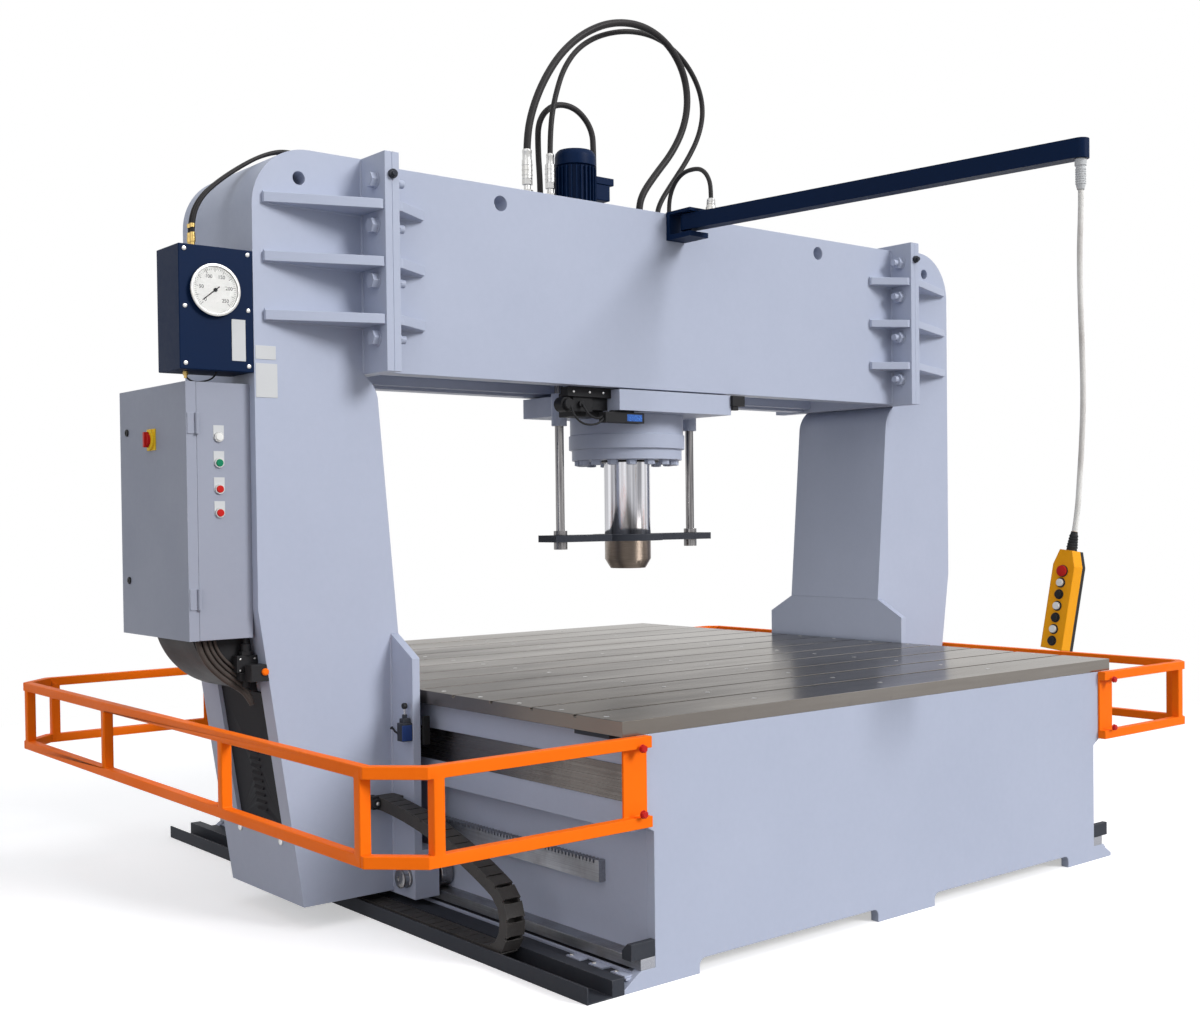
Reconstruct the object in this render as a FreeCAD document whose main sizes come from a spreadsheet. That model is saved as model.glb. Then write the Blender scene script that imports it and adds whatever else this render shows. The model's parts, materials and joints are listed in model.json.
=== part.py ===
# Gantry straightening press: a plate table with rails, a travelling portal, a cross
# carriage with its hydraulic cylinder, a control pendant on a swinging arm.
# Millimetres, +Z up. The origin is on the floor under the middle of the table,
# X runs along the beam and Y along the table.
import FreeCAD, Part
import math
import os
import Sketcher
from FreeCAD import Placement, Rotation, Vector

os.makedirs("parts", exist_ok=True)
doc = FreeCAD.newDocument("StraighteningPress")

sizes = {
    # table and its frame
    "TableWidth": 2250,
    "TableLength": 2606,
    "TableHigh": 709,
    "TableThick": 41,
    "GroovePitch": 200,
    "GrooveWide": 14,
    "GrooveDeep": 8,
    "BodyInset": 48,
    "WallInset": 103,
    "OverhangHigh": 409,
    "OverhangSlope": 33,
    "EndThick": 30,
    "RibThick": 30,
    "SkinThick": 12,
    "FootOut": 3,
    "FootLength": 264,
    "MidFootLength": 270,
    "FootTip": 12,
    "SillHigh": 50,
    "ArchHigh": 40,
    "ArchRound": 20,
    "StripHigh": 97,
    "StripLow": 488,
    "StripInset": 59,
    "StripThick": 3,
    # rails, stops and racks along the table
    "RailWide": 50,
    "RailHigh": 30,
    "StopLength": 40,
    "StopHigh": 45,
    "StopWide": 82,
    "StopNose": 22,
    "RackThick": 23,
    "RackHigh": 60,
    "RackLow": 240,
    "RackInset": 208,
    "ToothPitch": 16,
    "ToothDeep": 11,
    # cable lane beside the table
    "ChannelWide": 122,
    "ChannelLip": 45,
    "ChannelThick": 4,
    "TubeWide": 40,
    "TubeHigh": 42,
    "ChannelTail": 60,
    # guards round the portal's path
    "GuardTube": 30,
    "GuardTop": 668,
    "GuardGap": 178,
    "GuardStartIn": 75,
    "GuardOutLeft": 229,
    "GuardOutRight": 26,
    "GuardChamferLeft": 110,
    "GuardChamferRight": 45,
    "GuardPlateWide": 80,
    "GuardPlateThick": 8,
    "PostPitch": 880,
    # travelling portal
    "GantryAt": 43,
    "ColumnDeep": 500,
    "ColumnGap": 40,
    "ColumnWide": 441,
    "FootWide": 309,
    "ColumnLow": 74,
    "ColumnKink": 975,
    "ColumnTop": 2347,
    "ColumnRound": 185,
    "NeckOut": 34,
    "NeckHigh": 1616,
    "LiftBoreRadius": 20,
    "LiftBoreInset": 88,
    "LiftBoreIn": 151,
    "InnerPlateThick": 27,
    "InnerPlateWide": 750,
    "InnerPlateLow": 65,
    "InnerPlateShoulder": 810,
    "InnerPlateTop": 880,
    "HousingThick": 60,
    "HousingWide": 120,
    "HousingHigh": 150,
    "WheelAlong": 331,
    "WheelRadius": 48,
    "WheelWide": 40,
    "WheelGap": 0.3,
    "AxleRadius": 15,
    "BossRadius": 28.5,
    "BossLength": 25,
    "BeamDeep": 576,
    "BeamPlate": 70,
    "BeamLow": 1690,
    "BeamTop": 2326,
    "BeamEyeIn": 441,
    "BeamEyeRadius": 25,
    "BeamEyeInset": 58,
    "FlangeOut": 31,
    "FlangeThick": 25,
    "FlangeWide": 786,
    "FlangeLow": 1685,
    "GussetThick": 30,
    "GussetOut": 136,
    "GussetReach": 329,
    "GussetShort": 141,
    "GussetNose": 14,
    "GussetFirst": 1842,
    "GussetPitch": 172.5,
    "LedgeDeep": 40,
    "LedgeHigh": 30,
    "LedgeRise": 10,
    # boxes on the left column
    "CabinetDeep": 164,
    "CabinetWide": 508,
    "CabinetHigh": 747,
    "CabinetLow": 893,
    "CabinetStart": 34,
    "CabinetSkin": 6,
    "DoorThick": 30,
    "DoorGap": 0.6,
    "HingeRadius": 6,
    "HingeHigh": 60,
    "HingeInset": 90,
    "HingeClear": 0.2,
    "HingeLeaf": 3,
    "SwitchRadius": 30,
    "SwitchOut": 26,
    "LockRadius": 11,
    "LockOut": 8,
    "LockInset": 60,
    "DuctHigh": 165,
    "DuctFoot": 12,
    "DuctRound": 240,
    "DuctInset": 20,
    "LouvreBack": 14,
    "LouvreOut": 7,
    "LouvreHigh": 15,
    "LouvrePitch": 22.6,
    "LouvreFirst": 343,
    "LouvreWide": 64,
    "LouvreAlong": 2,
    "GaugeBoxDeep": 223,
    "GaugeBoxWide": 159,
    "GaugeBoxLow": 1671,
    "GaugeBoxHigh": 355,
    "DialRadius": 75,
    "DialDeep": 16,
    "DialOut": 120,
    "DialHigh": 1900,
    "RecessFront": 67,
    "RecessWide": 310,
    "RecessDeep": 26,
    "RecessLow": 300,
    "RecessTop": 820,
    "GaugeHoseOut": 121,
    "GaugeHoseIn": 139,
    "GaugeHosePitch": 20,
    "GaugeHoseEnd": 300,
    "NippleRadius": 8,
    "NippleHigh": 50,
    "ElbowRadius": 9,
    "ElbowLong": 30,
    "ElbowRise": 14,
    "TripDeep": 38,
    "TripFrom": 340,
    "TripWide": 50,
    "TripLow": 549,
    "TripHigh": 91,
    "TripKnob": 14,
    "TripKnobHigh": 18,
    # drag chain
    "ChainWide": 60,
    "ChainThick": 38,
    "ChainInset": 10,
    "ChainLow": 10,
    "ChainBend": 115,
    "ChainBendAt": 866,
    "ChainEndAway": 61,
    "ChainEndHigh": 361,
    "ChainSag": 1847,
    "ChainStart": 43,
    "LinkPitch": 45,
    "LinkSide": 7,
    "LinkBar": 4,
    "LinkGap": 6,
    "LinkPin": 11,
    # carriage and cylinder
    "CarriageAt": 3,
    "CarriageWide": 536,
    "CarriageDeep": 582,
    "CarriageLow": 1612,
    "BeamClear": 5,
    "HangerThick": 30,
    "HangerAlong": 200,
    "HangerGap": 8,
    "LipHigh": 34,
    "LipGap": 0.5,
    "BarrelRadius": 140,
    "BarrelTop": 2090,
    "HeadRadius": 213,
    "HeadLow": 1540,
    "CollarRadius": 218,
    "CollarLow": 1487,
    "GlandRingRadius": 207,
    "GlandRingLow": 1447,
    "RamRadius": 87,
    "RamClear": 0.5,
    "RamTop": 1790,
    "NoseLow": 1044,
    "NoseHigh": 1079,
    "NoseRadius": 66,
    "TieLow": 1147,
    "TieThick": 25,
    "TieWide": 752,
    "TieDeep": 110,
    "TieRing": 132,
    "RodAlong": 316,
    "RodRadius": 16,
    "RodTop": 1990,
    "RodNutRadius": 25,
    "RodNutHigh": 27,
    "BushRadius": 28,
    "BushLow": 1569,
    "ValveWide": 132,
    "ValveFrom": 200,
    "ValveDeep": 90,
    "ValveLow": 1590,
    "ValveHigh": 85,
    "ReadoutFrom": 318,
    "ReadoutWide": 176,
    "ReadoutOut": 275,
    "ReadoutDeep": 40,
    "ReadoutLow": 1568,
    "ReadoutHigh": 37,
    "ReadoutStalk": 100,
    # power unit on the carriage
    "TankLow": 2120,
    "TankHigh": 142,
    "TankWide": 556,
    "TankDeep": 300,
    "CoverThick": 28,
    "CoverReach": 500,
    "MotorAlong": 228,
    "MotorRadius": 78,
    "CowlRadius": 71,
    "MotorShoulder": 2528,
    "MotorTop": 2573,
    "CowlRound": 14,
    "TerminalDeep": 110,
    "TerminalOut": 67,
    "TerminalLow": 110,
    "TerminalHigh": 87,
    "PortRadius": 15,
    "PortHigh": 18,
    "FittingHigh": 220,
    "FittingMid": 100,
    "FittingShort": 50,
    "FittingRadius": 21,
    "FittingNeck": 20,
    # jib arm and pendant
    "PivotAcross": 6,
    "PivotOut": 356,
    "PinRadius": 12,
    "PinClear": 0.3,
    "ForkLeft": 44,
    "ForkRight": 44,
    "ForkDeep": 128,
    "ForkLow": 2228,
    "ForkHigh": 101,
    "ForkPlate": 18,
    "ForkTopPlate": 11,
    "ClipWide": 28,
    "ClipDeep": 27,
    "ClipLow": 2235,
    "ClipHigh": 35,
    "ArmWide": 50,
    "ArmLow": 2258,
    "ArmHigh": 57,
    "ArmLength": 1504,
    "ArmAngle": 7.3,
    "ArmGlandOut": 109,
    "ArmGlandHigh": 40,
    "ArmGlandRadius": 13,
    "TipGlandRadius": 16,
    "TipGlandLow": 2169,
    "TipGlandHigh": 30,
    "TipGlandNeck": 10,
    "PendantWide": 71,
    "PendantDeep": 58,
    "PendantLength": 290,
    "PendantShoulder": 45,
    "PendantNeck": 40,
    "BootLength": 56,
    "BootRadius": 15,
    "BootNeck": 9,
    "ButtonCount": 7,
    "ButtonFirst": 62,
    "ButtonPitch": 34,
    "ButtonRadius": 10,
    "StopButtonRadius": 15,
    "ButtonOut": 9,
    "PendantLean": 9,
}

sheet = doc.addObject("Spreadsheet::Sheet", "Sizes")
for line, (word, number) in enumerate(sizes.items(), start=1):
    sheet.set(f"A{line}", word)
    sheet.set(f"B{line}", str(number))
    sheet.setAlias(f"B{line}", word)
doc.recompute()


class Size:
    """A length that knows its value in millimetres and its formula on the sheet."""

    def __init__(self, value, formula):
        self.value = value
        self.formula = formula

    def __add__(self, other):
        other = sized(other)
        return Size(self.value + other.value, f"({self.formula} + {other.formula})")

    def __radd__(self, other):
        return sized(other) + self

    def __sub__(self, other):
        other = sized(other)
        return Size(self.value - other.value, f"({self.formula} - {other.formula})")

    def __rsub__(self, other):
        return sized(other) - self

    def __mul__(self, number):
        return Size(self.value * number, f"({self.formula} * ({number}))")

    __rmul__ = __mul__

    def __truediv__(self, number):
        return Size(self.value / number, f"({self.formula} / {number})")

    def __neg__(self):
        return self * -1


def sized(number):
    return number if isinstance(number, Size) else Size(number, f"({number})")


class Sheet:
    """Every size of the sheet by its own name."""

    def __init__(self):
        for word, number in sizes.items():
            setattr(self, word, Size(number, f"Sizes.{word}"))


S = Sheet()
nodes = []
made = {"count": 0}


def bind(thing, where, length):
    thing.setExpression(where, sized(length).formula)


def place(thing, x, y, z):
    for axis, length in (("x", x), ("y", y), ("z", z)):
        bind(thing, f"Placement.Base.{axis}", length)
    return thing


def new(kind, name):
    made["count"] += 1
    return doc.addObject(kind, f"{name}{made['count']}")


def node(label, thing):
    thing.Label = label
    nodes.append(thing)
    return thing


def box(x, y, z):
    """A block between two places on each axis."""
    block = new("Part::Box", "Block")
    for side, (low, high) in (("Length", x), ("Width", y), ("Height", z)):
        bind(block, side, sized(high) - low)
    return place(block, x[0], y[0], z[0])


def mirror_span(side, low, high):
    """The same stretch of X on the right (side 1) or on the left (side -1)."""
    return (low, high) if side > 0 else (-high, -low)


turns = {
    "X": Rotation(Vector(0, 1, 0), 90),
    "Y": Rotation(Vector(1, 0, 0), -90),
    "Z": Rotation(),
}


def cylinder(axis, radius, low, high, first, second):
    """A cylinder along axis from low to high; first and second are its other two places."""
    rod = new("Part::Cylinder", "Round")
    bind(rod, "Radius", radius)
    bind(rod, "Height", sized(high) - low)
    rod.Placement = Placement(Vector(), turns[axis])
    spot = {"X": (low, first, second), "Y": (first, low, second), "Z": (first, second, low)}
    return place(rod, *spot[axis])


def cone(low_radius, high_radius, low, high, x, y):
    taper = new("Part::Cone", "Taper")
    bind(taper, "Radius1", low_radius)
    bind(taper, "Radius2", high_radius)
    bind(taper, "Height", sized(high) - low)
    return place(taper, x, y, low)


def fuse(*things):
    whole = new("Part::MultiFuse", "Joined")
    whole.Shapes = list(things)
    whole.Refine = True
    return whole


def cut(base, *tools):
    rest = new("Part::Cut", "Trimmed")
    rest.Base = base
    rest.Tool = tools[0] if len(tools) == 1 else group(*tools)
    return rest


def group(*things):
    several = new("Part::Compound", "Set")
    several.Links = list(things)
    return several


def arc_between(start, end, radius):
    """Part of a circle from start to end, turning left for a positive radius."""
    chord = end - start
    side = Vector(-chord.y, chord.x, 0).normalize() * (1 if radius > 0 else -1)
    rise = math.sqrt(max(radius * radius - chord.Length**2 / 4, 0))
    middle = (start + end) / 2 + side * rise
    circle = Part.Circle(middle, Vector(0, 0, 1), abs(radius))
    first, last = (start, end) if radius > 0 else (end, start)
    angles = [math.atan2(spot.y - middle.y, spot.x - middle.x) for spot in (first, last)]
    return Part.ArcOfCircle(circle, *angles)


def outline(sketch, points):
    """A closed outline. A point may carry the radius of the arc that leads to it."""
    spots = [Vector(sized(p[0]).value, sized(p[1]).value, 0) for p in points]
    rules = []
    ends = []
    bound = []
    for index, point in enumerate(points):
        start = spots[index - 1]
        end = spots[index]
        radius = sized(point[2]).value if len(point) > 2 else 0
        edge = arc_between(start, end, radius) if radius else Part.LineSegment(start, end)
        sketch.addGeometry(edge)
        ends.append((1, 2) if radius >= 0 else (2, 1))
        if radius:
            rules.append(Sketcher.Constraint("Radius", index, abs(radius)))
            bound.append(point[2] if radius > 0 else -sized(point[2]))
    for index, point in enumerate(points):
        after = (index + 1) % len(points)
        rules.append(Sketcher.Constraint("Coincident", index, ends[index][1], after, ends[after][0]))
        bound.append(None)
        for way, length in (("DistanceX", point[0]), ("DistanceY", point[1])):
            rules.append(Sketcher.Constraint(way, index, ends[index][1], sized(length).value))
            bound.append(length)
    sketch.addConstraint(rules)
    for index, length in enumerate(bound):
        if length is not None:
            bind(sketch, f"Constraints[{index}]", length)


def base_plane(body, role):
    return next(part for part in body.Origin.OriginFeatures if part.Role == role)


def drawing(body, role, points):
    sketch = body.newObject("Sketcher::SketchObject", f"{body.Name}Drawing")
    sketch.AttachmentSupport = (base_plane(body, role), [""])
    sketch.MapMode = "FlatFace"
    outline(sketch, points)
    return sketch


planes = {"X": "YZ_Plane", "Y": "XZ_Plane", "Z": "XY_Plane"}


def profile(axis, points, low, high):
    """An outline made solid along axis from low to high."""
    body = new("PartDesign::Body", "Profile")
    pad = body.newObject("PartDesign::Pad", f"{body.Name}Pad")
    pad.Profile = drawing(body, planes[axis], points)
    pad.Reversed = axis == "Y"
    bind(pad, "Length", sized(high) - low)
    body.Tip = pad
    spot = {"X": (low, 0, 0), "Y": (0, low, 0), "Z": (0, 0, low)}
    return place(body, *spot[axis])


def turned(points, x, y):
    """A turned piece round an upright axis; points are (radius, height)."""
    body = new("PartDesign::Body", "Turned")
    sketch = drawing(body, "XZ_Plane", points)
    spin = body.newObject("PartDesign::Revolution", f"{body.Name}Spin")
    spin.Profile = sketch
    spin.ReferenceAxis = (sketch, ["V_Axis"])
    spin.Angle = 360
    body.Tip = spin
    return place(body, x, y, 0)


def mirrored(side, points):
    """Outline points on the right, or the same on the left, arcs turned round too."""
    return [(p[0] * side, p[1]) + ((p[2] * side,) if len(p) > 2 else ()) for p in points]


def hose(label, points, diameter):
    """A hose along straight runs joined by tangent arcs, each as large as its runs allow."""
    spots = [Vector(*point) for point in points]
    edges = []
    start = spots[0]
    radii = []
    for before, corner, after in zip(spots, spots[1:], spots[2:]):
        into = (corner - before).normalize()
        out = (after - corner).normalize()
        half = into.getAngle(out) / 2
        back = 0.45 * min((corner - before).Length, (after - corner).Length)
        radii.append(back / math.tan(half))
        bend_start = corner - into * back
        bend_end = corner + out * back
        inward = (out - into).normalize()
        crown = corner + inward * (radii[-1] / math.cos(half) - radii[-1])
        edges.append(Part.LineSegment(start, bend_start).toShape())
        edges.append(Part.Arc(bend_start, crown, bend_end).toShape())
        start = bend_end
    edges.append(Part.LineSegment(start, spots[-1]).toShape())
    path = Part.Wire(edges)
    ring = Part.Wire(Part.Circle(spots[0], spots[1] - spots[0], diameter / 2).toShape())
    shape = path.makePipeShell([ring], True, False)
    wanted = math.pi * diameter**2 / 4 * path.Length
    print(label, [tuple(round(number, 1) for number in spot) for spot in spots])
    print(f"{label}: length {path.Length:.0f}, least radius {min(radii):.0f},"
          f" volume ratio {shape.Volume / wanted:.4f}")
    tube = doc.addObject("Part::Feature", label.title().replace("_", ""))
    tube.Shape = shape
    return node(label, tube)


# Places worked out once and shared by the pieces.
half_table = S.TableLength / 2
plate_low = S.TableHigh - S.TableThick
half_top = S.TableWidth / 2
half_body = half_top - S.BodyInset
half_wall = half_top - S.WallInset
half_feet = half_top + S.FootOut
arch_start = half_feet - S.FootLength
arch_end = S.MidFootLength / 2
overhang_top = S.OverhangHigh + S.OverhangSlope
rail_top = S.SillHigh + S.RailHigh
column_inner = half_top + S.ColumnGap
column_outer = column_inner + S.ColumnWide
column_foot = column_inner + S.FootWide
flange_at = column_inner + S.FlangeOut
channel_outer = half_feet + S.ChannelWide
column_front = S.GantryAt - S.ColumnDeep / 2
column_back = S.GantryAt + S.ColumnDeep / 2
beam_front = S.GantryAt - S.BeamDeep / 2
beam_back = S.GantryAt + S.BeamDeep / 2
flange_seam = flange_at + S.FlangeThick
column_seam = flange_at + S.FlangeThick * 2
wheel_high = rail_top + S.WheelRadius + S.WheelGap
plate_inner = column_inner - S.InnerPlateThick


# Table frame: two end plates and a middle rib with feet, side plates, the table plate.
def end_outline(half_low, half_high):
    """Half of a cross plate with its outer foot and half of the middle foot."""
    right = [
        (arch_end, 0),
        (arch_end, S.ArchHigh - S.ArchRound),
        (arch_end + S.ArchRound, S.ArchHigh, -S.ArchRound),
        (arch_start - S.ArchRound, S.ArchHigh),
        (arch_start, S.ArchHigh - S.ArchRound, -S.ArchRound),
        (arch_start, 0),
        (half_feet, 0),
        (half_feet, S.FootTip),
        (half_wall + S.RailWide, S.SillHigh),
        (half_low, S.SillHigh),
    ]
    if half_high is half_low:
        return right + [(half_low, plate_low)]
    return right + [
        (half_low, S.OverhangHigh),
        (half_high, overhang_top),
        (half_high, plate_low),
    ]


def both_halves(right):
    """An outline with its mirror image, so that it closes over the middle."""
    left = []
    for index in range(len(right) - 1, -1, -1):
        point = right[index]
        after = right[index + 1] if index + 1 < len(right) else point
        radius = (after[2],) if len(after) > 2 else ()
        left.append((-point[0], point[1]) + radius)
    return right + left


end_points = both_halves(end_outline(half_wall, half_body))
node("base_end_front", profile("Y", end_points, -half_table, -half_table + S.EndThick))
node("base_end_back", profile("Y", end_points, half_table - S.EndThick, half_table))
rib_low = half_wall - S.SkinThick
rib_high = half_body - S.SkinThick
rib_right = end_outline(rib_low, rib_high)[:-3] + [
    (rib_low, S.OverhangHigh + S.SkinThick),
    (rib_high, S.OverhangHigh + S.SkinThick),
    (rib_high, plate_low),
]
node("base_mid_rib", profile("Y", both_halves(rib_right), -S.RibThick / 2, S.RibThick / 2))

for side, name in ((-1, "left"), (1, "right")):
    wall = [
        (rib_low, S.SillHigh),
        (half_wall, S.SillHigh),
        (half_wall, S.OverhangHigh),
        (half_body, S.OverhangHigh),
        (half_body, plate_low),
        (rib_high, plate_low),
        (rib_high, S.OverhangHigh + S.SkinThick),
        (rib_low, S.OverhangHigh + S.SkinThick),
    ]
    node(f"base_side_{name}", profile(
        "Y", mirrored(side, wall), -half_table + S.EndThick, half_table - S.EndThick))

table = box((-half_top, half_top), (-half_table, half_table), (plate_low, S.TableHigh))
groove_count = int((S.TableLength.value - S.GroovePitch.value / 2) // S.GroovePitch.value)
grooves = []
for index in range(groove_count):
    middle = S.GroovePitch * (index - (groove_count - 1) / 2)
    grooves.append(box(
        (-half_top - 1, half_top + 1),
        (middle - S.GrooveWide / 2, middle + S.GrooveWide / 2),
        (S.TableHigh - S.GrooveDeep, S.TableHigh + 1)))
node("table_top", cut(table, *grooves))

strips = []
rails = []
stops = []
racks = []
rack_length = S.TableLength - S.RackInset * 2
tooth_count = int(rack_length.value // S.ToothPitch.value) - 1
for side in (-1, 1):
    strips.append(box(
        mirror_span(side, half_body, half_body + S.StripThick),
        (-half_table + S.StripInset, half_table - S.StripInset),
        (S.StripLow, S.StripLow + S.StripHigh)))
    rails.append(box(
        mirror_span(side, half_wall, half_wall + S.RailWide),
        (-half_table, half_table), (S.SillHigh, rail_top)))
    for end in (-1, 1):
        stop = [
            (half_table * end, rail_top),
            (half_table * end, rail_top + S.StopHigh),
            ((half_table - S.StopLength + S.StopNose) * end, rail_top + S.StopHigh),
            ((half_table - S.StopLength) * end, rail_top + S.StopHigh - S.StopNose),
            ((half_table - S.StopLength) * end, rail_top),
        ]
        low, high = mirror_span(side, half_wall, half_wall + S.StopWide)
        stops.append(profile("X", stop, low, high))

    # The rack is a bar with its gaps cut along the upper edge by a pattern.
    low, high = mirror_span(side, half_wall, half_wall + S.RackThick)
    rack_top = S.RackLow + S.RackHigh
    rack = profile("X", [
        (-rack_length / 2, S.RackLow),
        (rack_length / 2, S.RackLow),
        (rack_length / 2, rack_top),
        (-rack_length / 2, rack_top),
    ], low, high)
    first = -S.ToothPitch * ((tooth_count - 1) / 2)
    gap = rack.newObject("PartDesign::Pocket", f"{rack.Name}Gap")
    gap.Profile = drawing(rack, "YZ_Plane", [
        (first - S.ToothPitch * 0.38, rack_top + 1),
        (first - S.ToothPitch * 0.12, rack_top - S.ToothDeep),
        (first + S.ToothPitch * 0.12, rack_top - S.ToothDeep),
        (first + S.ToothPitch * 0.38, rack_top + 1),
    ])
    gap.Type = 1
    gap.Reversed = True
    row = rack.newObject("PartDesign::LinearPattern", f"{rack.Name}Row")
    row.Originals = [gap]
    row.Direction = (base_plane(rack, "Y_Axis"), [""])
    row.Occurrences = tooth_count
    bind(row, "Length", S.ToothPitch * (tooth_count - 1))
    rack.Tip = row
    racks.append(rack)
node("cover_strips", group(*strips))
node("rails", group(*rails))
node("rail_stops", group(*stops))
node("racks", group(*racks))

# Cable lane on the left: a folded channel with a square tube welded in beside the feet.
tube_outer = half_feet + S.TubeWide
channel_top = S.ChannelThick + S.TubeHigh
node("cable_channel", profile("Y", [
    (-channel_outer, 0),
    (-half_feet, 0),
    (-half_feet, channel_top),
    (-tube_outer, channel_top),
    (-tube_outer, S.ChannelThick),
    (-channel_outer + S.ChannelThick, S.ChannelThick),
    (-channel_outer + S.ChannelThick, S.ChannelLip),
    (-channel_outer, S.ChannelLip),
], -half_table, half_table + S.ChannelTail))

# Guards: near and far frames with their corner, and a long frame beside each column.
guard_start = half_top - S.GuardStartIn
guard_low = S.GuardTop - S.GuardTube * 2 - S.GuardGap
slant = math.tan(math.radians(22.5))


def guard_end(side, end):
    outer = column_outer + (S.GuardOutLeft if side < 0 else S.GuardOutRight)
    chamfer = S.GuardChamferLeft if side < 0 else S.GuardChamferRight
    line = half_table + S.GuardTube
    plan = [
        (guard_start, half_table),
        (outer - chamfer - S.GuardTube * slant, half_table),
        (outer - S.GuardTube, line - chamfer - S.GuardTube * slant),
        (outer, line - chamfer - S.GuardTube * slant),
        (outer, line - chamfer),
        (outer - chamfer, line),
        (guard_start, line),
    ]
    plan = [(x * side, y * end) for x, y in plan]
    pieces = []
    for low in (guard_low, S.GuardTop - S.GuardTube):
        pieces.append(profile("Z", plan, low, low + S.GuardTube))
    rear, face = (half_table, line) if end > 0 else (-line, -half_table)
    pieces.append(box(
        mirror_span(side, outer - chamfer - S.GuardTube * 1.5, outer - chamfer - S.GuardTube * 0.5),
        (rear, face), (guard_low + S.GuardTube, S.GuardTop - S.GuardTube)))
    plate = (half_table, half_table + S.GuardPlateThick)
    if end < 0:
        plate = (-half_table - S.GuardPlateThick, -half_table)
    pieces.append(box(
        mirror_span(side, guard_start, guard_start + S.GuardPlateWide), plate,
        (guard_low, S.GuardTop)))
    return fuse(*pieces)


def guard_side(side):
    outer = column_outer + (S.GuardOutLeft if side < 0 else S.GuardOutRight)
    chamfer = S.GuardChamferLeft if side < 0 else S.GuardChamferRight
    reach = half_table + S.GuardTube - chamfer - S.GuardTube * slant
    span = mirror_span(side, outer - S.GuardTube, outer)
    pieces = []
    for low in (guard_low, S.GuardTop - S.GuardTube):
        pieces.append(box(span, (-reach, reach), (low, low + S.GuardTube)))
    upright = (guard_low + S.GuardTube, S.GuardTop - S.GuardTube)
    pieces.append(box(span, (-reach, -reach + S.GuardTube), upright))
    pieces.append(box(span, (reach - S.GuardTube, reach), upright))
    for step in (-0.5, 0.5):
        middle = S.PostPitch * step
        pieces.append(box(span, (middle - S.GuardTube / 2, middle + S.GuardTube / 2), upright))
    return fuse(*pieces)


node("guard_near", group(guard_end(-1, -1), guard_end(1, -1)))
node("guard_far", group(guard_end(-1, 1), guard_end(1, 1)))
node("guard_sides", group(guard_side(-1), guard_side(1)))


# Portal columns: a plate box with a slanted foot, a rounded head and lifting bores.
def outer_face(high):
    """How far out the slanted foot of a column is at a height."""
    return column_foot + (column_outer - column_foot) * (
        (high.value - S.ColumnLow.value) / (S.ColumnKink.value - S.ColumnLow.value))


def column(side):
    points = [
        (column_inner, S.ColumnLow),
        (column_foot, S.ColumnLow),
        (column_outer, S.ColumnKink),
        (column_outer, S.ColumnTop - S.ColumnRound),
        (column_outer - S.ColumnRound, S.ColumnTop, S.ColumnRound),
        (column_seam, S.ColumnTop),
        (column_seam, S.FlangeLow),
        (column_inner + S.NeckOut, S.NeckHigh, S.ColumnRound * 0.6),
        (plate_inner, S.InnerPlateTop),
        (column_inner, S.InnerPlateTop),
    ]
    body = profile("Y", mirrored(side, points), column_front, column_back)
    eye = cylinder("Y", S.LiftBoreRadius, column_front - 1, column_back + 1,
                   (column_outer - S.LiftBoreIn) * side, S.ColumnTop - S.LiftBoreInset)
    tools = [eye]
    if side < 0:
        recess = [
            (-outer_face(S.RecessLow) - S.RecessDeep, S.RecessLow),
            (-outer_face(S.RecessLow) + S.RecessDeep, S.RecessLow),
            (-outer_face(S.RecessTop) + S.RecessDeep, S.RecessTop),
            (-outer_face(S.RecessTop) - S.RecessDeep, S.RecessTop),
        ]
        tools.append(profile("Y", recess[::-1], recess_start, recess_end))
    return cut(body, *tools)


recess_start = column_front + S.RecessFront
recess_end = recess_start + S.RecessWide
node("column_left", column(-1))
node("column_right", column(1))


def inner_plate(side):
    """The wide plate under a column, with both wheel housings and their axles."""
    half = S.InnerPlateWide / 2
    neck = S.ColumnDeep / 2
    plate = profile("X", [
        (S.GantryAt - half, S.InnerPlateLow),
        (S.GantryAt + half, S.InnerPlateLow),
        (S.GantryAt + half, S.InnerPlateShoulder),
        (S.GantryAt + neck, S.InnerPlateTop),
        (S.GantryAt - neck, S.InnerPlateTop),
        (S.GantryAt - half, S.InnerPlateShoulder),
    ], *mirror_span(side, plate_inner, column_inner))
    pieces = [plate]
    for end in (-1, 1):
        edge = S.GantryAt + half * end
        inward = edge - S.HousingWide * end
        pieces.append(box(
            mirror_span(side, plate_inner - S.HousingThick, plate_inner),
            (edge, inward) if end < 0 else (inward, edge),
            (S.InnerPlateLow, S.InnerPlateLow + S.HousingHigh)))
        axle = S.GantryAt + S.WheelAlong * end
        low, high = mirror_span(side, half_wall + 7, column_inner)
        pieces.append(cylinder("X", S.AxleRadius, low, high, axle, wheel_high))
        low, high = mirror_span(side, column_inner, column_inner + S.BossLength)
        if end < 0:
            pieces.append(cylinder("X", S.BossRadius, low, high, axle, wheel_high))
    return fuse(*pieces)


node("inner_plate_left", inner_plate(-1))
node("inner_plate_right", inner_plate(1))

wheel_outer = plate_inner - S.HousingThick - 8
for side, across in ((-1, "left"), (1, "right")):
    for end, along in ((-1, "front"), (1, "back")):
        spot = S.GantryAt + S.WheelAlong * end
        low, high = mirror_span(side, wheel_outer - S.WheelWide, wheel_outer)
        disc = cylinder("X", S.WheelRadius, low, high, spot, wheel_high)
        bore = cylinder("X", S.AxleRadius + S.WheelGap, low - 1, high + 1, spot, wheel_high)
        node(f"wheel_{along}_{across}", cut(disc, bore))

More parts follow.
